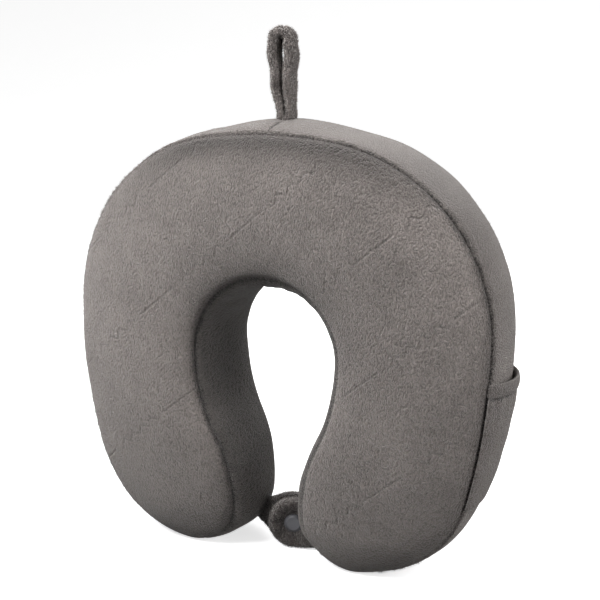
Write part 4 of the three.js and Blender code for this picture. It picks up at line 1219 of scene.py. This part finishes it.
def make_snap():
    face = STRAP_SPACING / 2 - GAP
    seat = STRAP_SPACING / 2 + STRAP_THICKNESS + GAP
    cap = [(0, seat + CAP_HEIGHT - 0.42), (1.6, seat + CAP_HEIGHT - 0.40), (3.0, seat + CAP_HEIGHT - 0.22)]
    cap += rounded_corner(4.2, seat + CAP_HEIGHT - 0.55, 0.5, 110, 40)
    cap += [(5.4, seat + 0.95)]
    cap += rounded_corner(CAP_RADIUS - 0.4, seat + 0.42, 0.4, 60, -90)
    cap += [(CAP_RADIUS - 1.2, seat + 0.05), (POST_RADIUS, seat), (POST_RADIUS, STRAP_SPACING / 2 + 0.6)]
    cap += [(0, STRAP_SPACING / 2 + 0.6)]
    for name, flip, body in (("front", True, "strap_right"), ("rear", False, "strap_left")):
        lathe_at_snap(f"snap_cap_{name}_disc", cap, flip, body, f"snap_cap_{name}")
    ring = [(0, face), (POST_RADIUS, face)]
    ring += rounded_corner(SOCKET_RADIUS - 0.35, face - 0.35, 0.35, 90, -40)
    ring += [(SOCKET_NECK + 0.7, face - 1.25), (SOCKET_NECK, face - 1.1)]
    ring += rounded_corner(SOCKET_NECK - 0.3, 0.65, 0.3, 0, -90)
    ring += rounded_corner(SOCKET_WELL + 0.25, 0.6, 0.25, -90, -180)
    ring += [(SOCKET_WELL, face - 0.6), (0, face - 0.6)]
    lathe_at_snap("snap_socket_ring", ring, True, "strap_right", "snap_socket")
    nub = [(0, face), (POST_RADIUS, face)]
    nub += rounded_corner(SOCKET_RADIUS - 0.35, face - 0.35, 0.35, 90, -90)
    nub += [(NUB_RADIUS + 0.3, face - 0.7), (NUB_RADIUS - 0.1, face - 1.0), (NUB_RADIUS - 0.1, -0.1)]
    nub += rounded_corner(NUB_RADIUS - 0.3, -0.45, 0.3, 30, -90)
    nub += [(0, -0.75)]
    lathe_at_snap("snap_stud_nub", nub, False, "strap_left", "snap_stud")


# ---------------------------------------------------------------- stage

FLOOR_FRONT, FLOOR_BACK, SWEEP_RADIUS, BACKDROP_TOP, STAGE_HALF = -3000.0, 1500.0, 900, 4000.0, 4000


def make_stage():
    """A pale floor that curves up behind into a backdrop."""
    n = Nodes("studio_paper", 0.9)
    n.shader.inputs["Specular IOR Level"].default_value = 0.0
    paper = n.noise(n.millimetres(), 0.02, 2.0)
    n.colour(n.mix(paper, (0.86, 0.86, 0.86), (0.90, 0.90, 0.90)))
    n.shader.inputs["Emission Color"].default_value = (1, 1, 1, 1)
    n.shader.inputs["Emission Strength"].default_value = 0.7
    profile = [(FLOOR_FRONT, 0.0), (FLOOR_BACK, 0.0)]
    for a in np.linspace(0, np.pi / 2, 24)[1:]:
        profile.append((FLOOR_BACK + SWEEP_RADIUS * math.sin(a), SWEEP_RADIUS - SWEEP_RADIUS * math.cos(a)))
    profile.append((FLOOR_BACK + SWEEP_RADIUS, BACKDROP_TOP))
    across = np.linspace(-STAGE_HALF, STAGE_HALF, 9)
    grid = np.array([[(x, y, z) for x in across] for y, z in profile])
    floor = smooth_mesh("studio_floor", grid.reshape(-1, 3), grid_faces(*grid.shape[:2]), n.material)
    floor.visible_diffuse = False


def area_light(name, place, target, size, power):
    lamp = bpy.data.lights.new(name, "AREA")
    lamp.shape = "DISK"
    lamp.size = size
    lamp.energy = power
    obj = bpy.data.objects.new(name, lamp)
    obj.location = place
    aim = Vector(target) - Vector(place)
    obj.rotation_euler = aim.to_track_quat("-Z", "Y").to_euler()
    bpy.context.collection.objects.link(obj)


LIGHTS = [  # name, place and target in metres, diameter in metres, watts
    ("key", (-0.36, -0.56, 0.78), (0, 0, 0.16), 0.45, 11),
    ("top", (0.10, 0.20, 1.00), (0, 0, 0.2), 0.6, 1.4),
    ("side", (0.9, -0.1, 0.6), (0.1, 0, 0.12), 0.6, 5.5),
    ("back", (-0.3, 1.1, 0.8), (0, 0, 0.12), 0.7, 9),
]
SKY_LOW, SKY_HIGH = (-0.6, 0.02), (1.0, 0.42)  # height on the sky's unit sphere, and its strength as a light


def make_lights():
    """A sky that is white to the camera and lights the object mostly from above, and four soft lamps."""
    world = bpy.data.worlds.new("studio")
    world.use_nodes = True
    tree = world.node_tree
    background = tree.nodes["Background"]
    background.inputs["Color"].default_value = (1, 1, 1, 1)
    kinds = ("TexCoord", "SeparateXYZ", "MapRange", "LightPath", "Mix")
    place, axes, fall, seen, strength = (tree.nodes.new(f"ShaderNode{kind}") for kind in kinds)
    limits = {"From Min": SKY_LOW[0], "From Max": SKY_HIGH[0], "To Min": SKY_LOW[1], "To Max": SKY_HIGH[1]}
    for key, value in limits.items():
        fall.inputs[key].default_value = value
    strength.inputs[3].default_value = 1.0
    tree.links.new(place.outputs["Generated"], axes.inputs[0])
    tree.links.new(axes.outputs["Z"], fall.inputs["Value"])
    tree.links.new(seen.outputs["Is Camera Ray"], strength.inputs[0])
    tree.links.new(fall.outputs[0], strength.inputs[2])
    tree.links.new(strength.outputs[0], background.inputs["Strength"])
    bpy.context.scene.world = world
    for light in LIGHTS:
        area_light(*light)
    bpy.context.scene.view_settings.view_transform = "Standard"


CAMERA_PLACE = (0.2944, -0.6318, 0.2990)  # metres
CAMERA_PITCH, CAMERA_ROLL, CAMERA_YAW = -0.19226, -0.01866, 0.42608
SENSOR_WIDTH, FOCAL_PER_WIDTH = 36, 1.8762  # the focal length over the picture's width


def make_camera():
    data = bpy.data.cameras.new("camera")
    data.sensor_width = SENSOR_WIDTH
    data.lens = SENSOR_WIDTH * FOCAL_PER_WIDTH
    camera = bpy.data.objects.new("camera", data)
    turn = Matrix.Rotation(CAMERA_YAW, 4, "Z") @ Matrix.Rotation(CAMERA_PITCH, 4, "X")
    turn = turn @ Matrix.Rotation(CAMERA_ROLL, 4, "Y") @ Matrix.Rotation(math.pi / 2, 4, "X")
    camera.matrix_world = Matrix.Translation(CAMERA_PLACE) @ turn
    bpy.context.collection.objects.link(camera)
    bpy.context.scene.camera = camera


make_camera()
make_stage()
make_lights()
make_foam()
make_liner()
make_panel("front_panel", -1)
make_panel("back_panel", 1)
for side, flip in (("right", False), ("left", True)):
    make_wall(f"outer_gusset_{side}", True, flip)
    make_wall(f"inner_gusset_{side}", False, flip)
make_seam_threads()
make_tapes()
make_teeth()
make_zip_metal()
make_pocket()
make_label()
make_loop()
make_strap("right", -(STRAP_SPACING + STRAP_THICKNESS) / 2)
make_strap("left", (STRAP_SPACING + STRAP_THICKNESS) / 2)
make_loop_root()
make_strap_root("left", 0.3)
make_strap_root("right", 0.7)
make_snap()
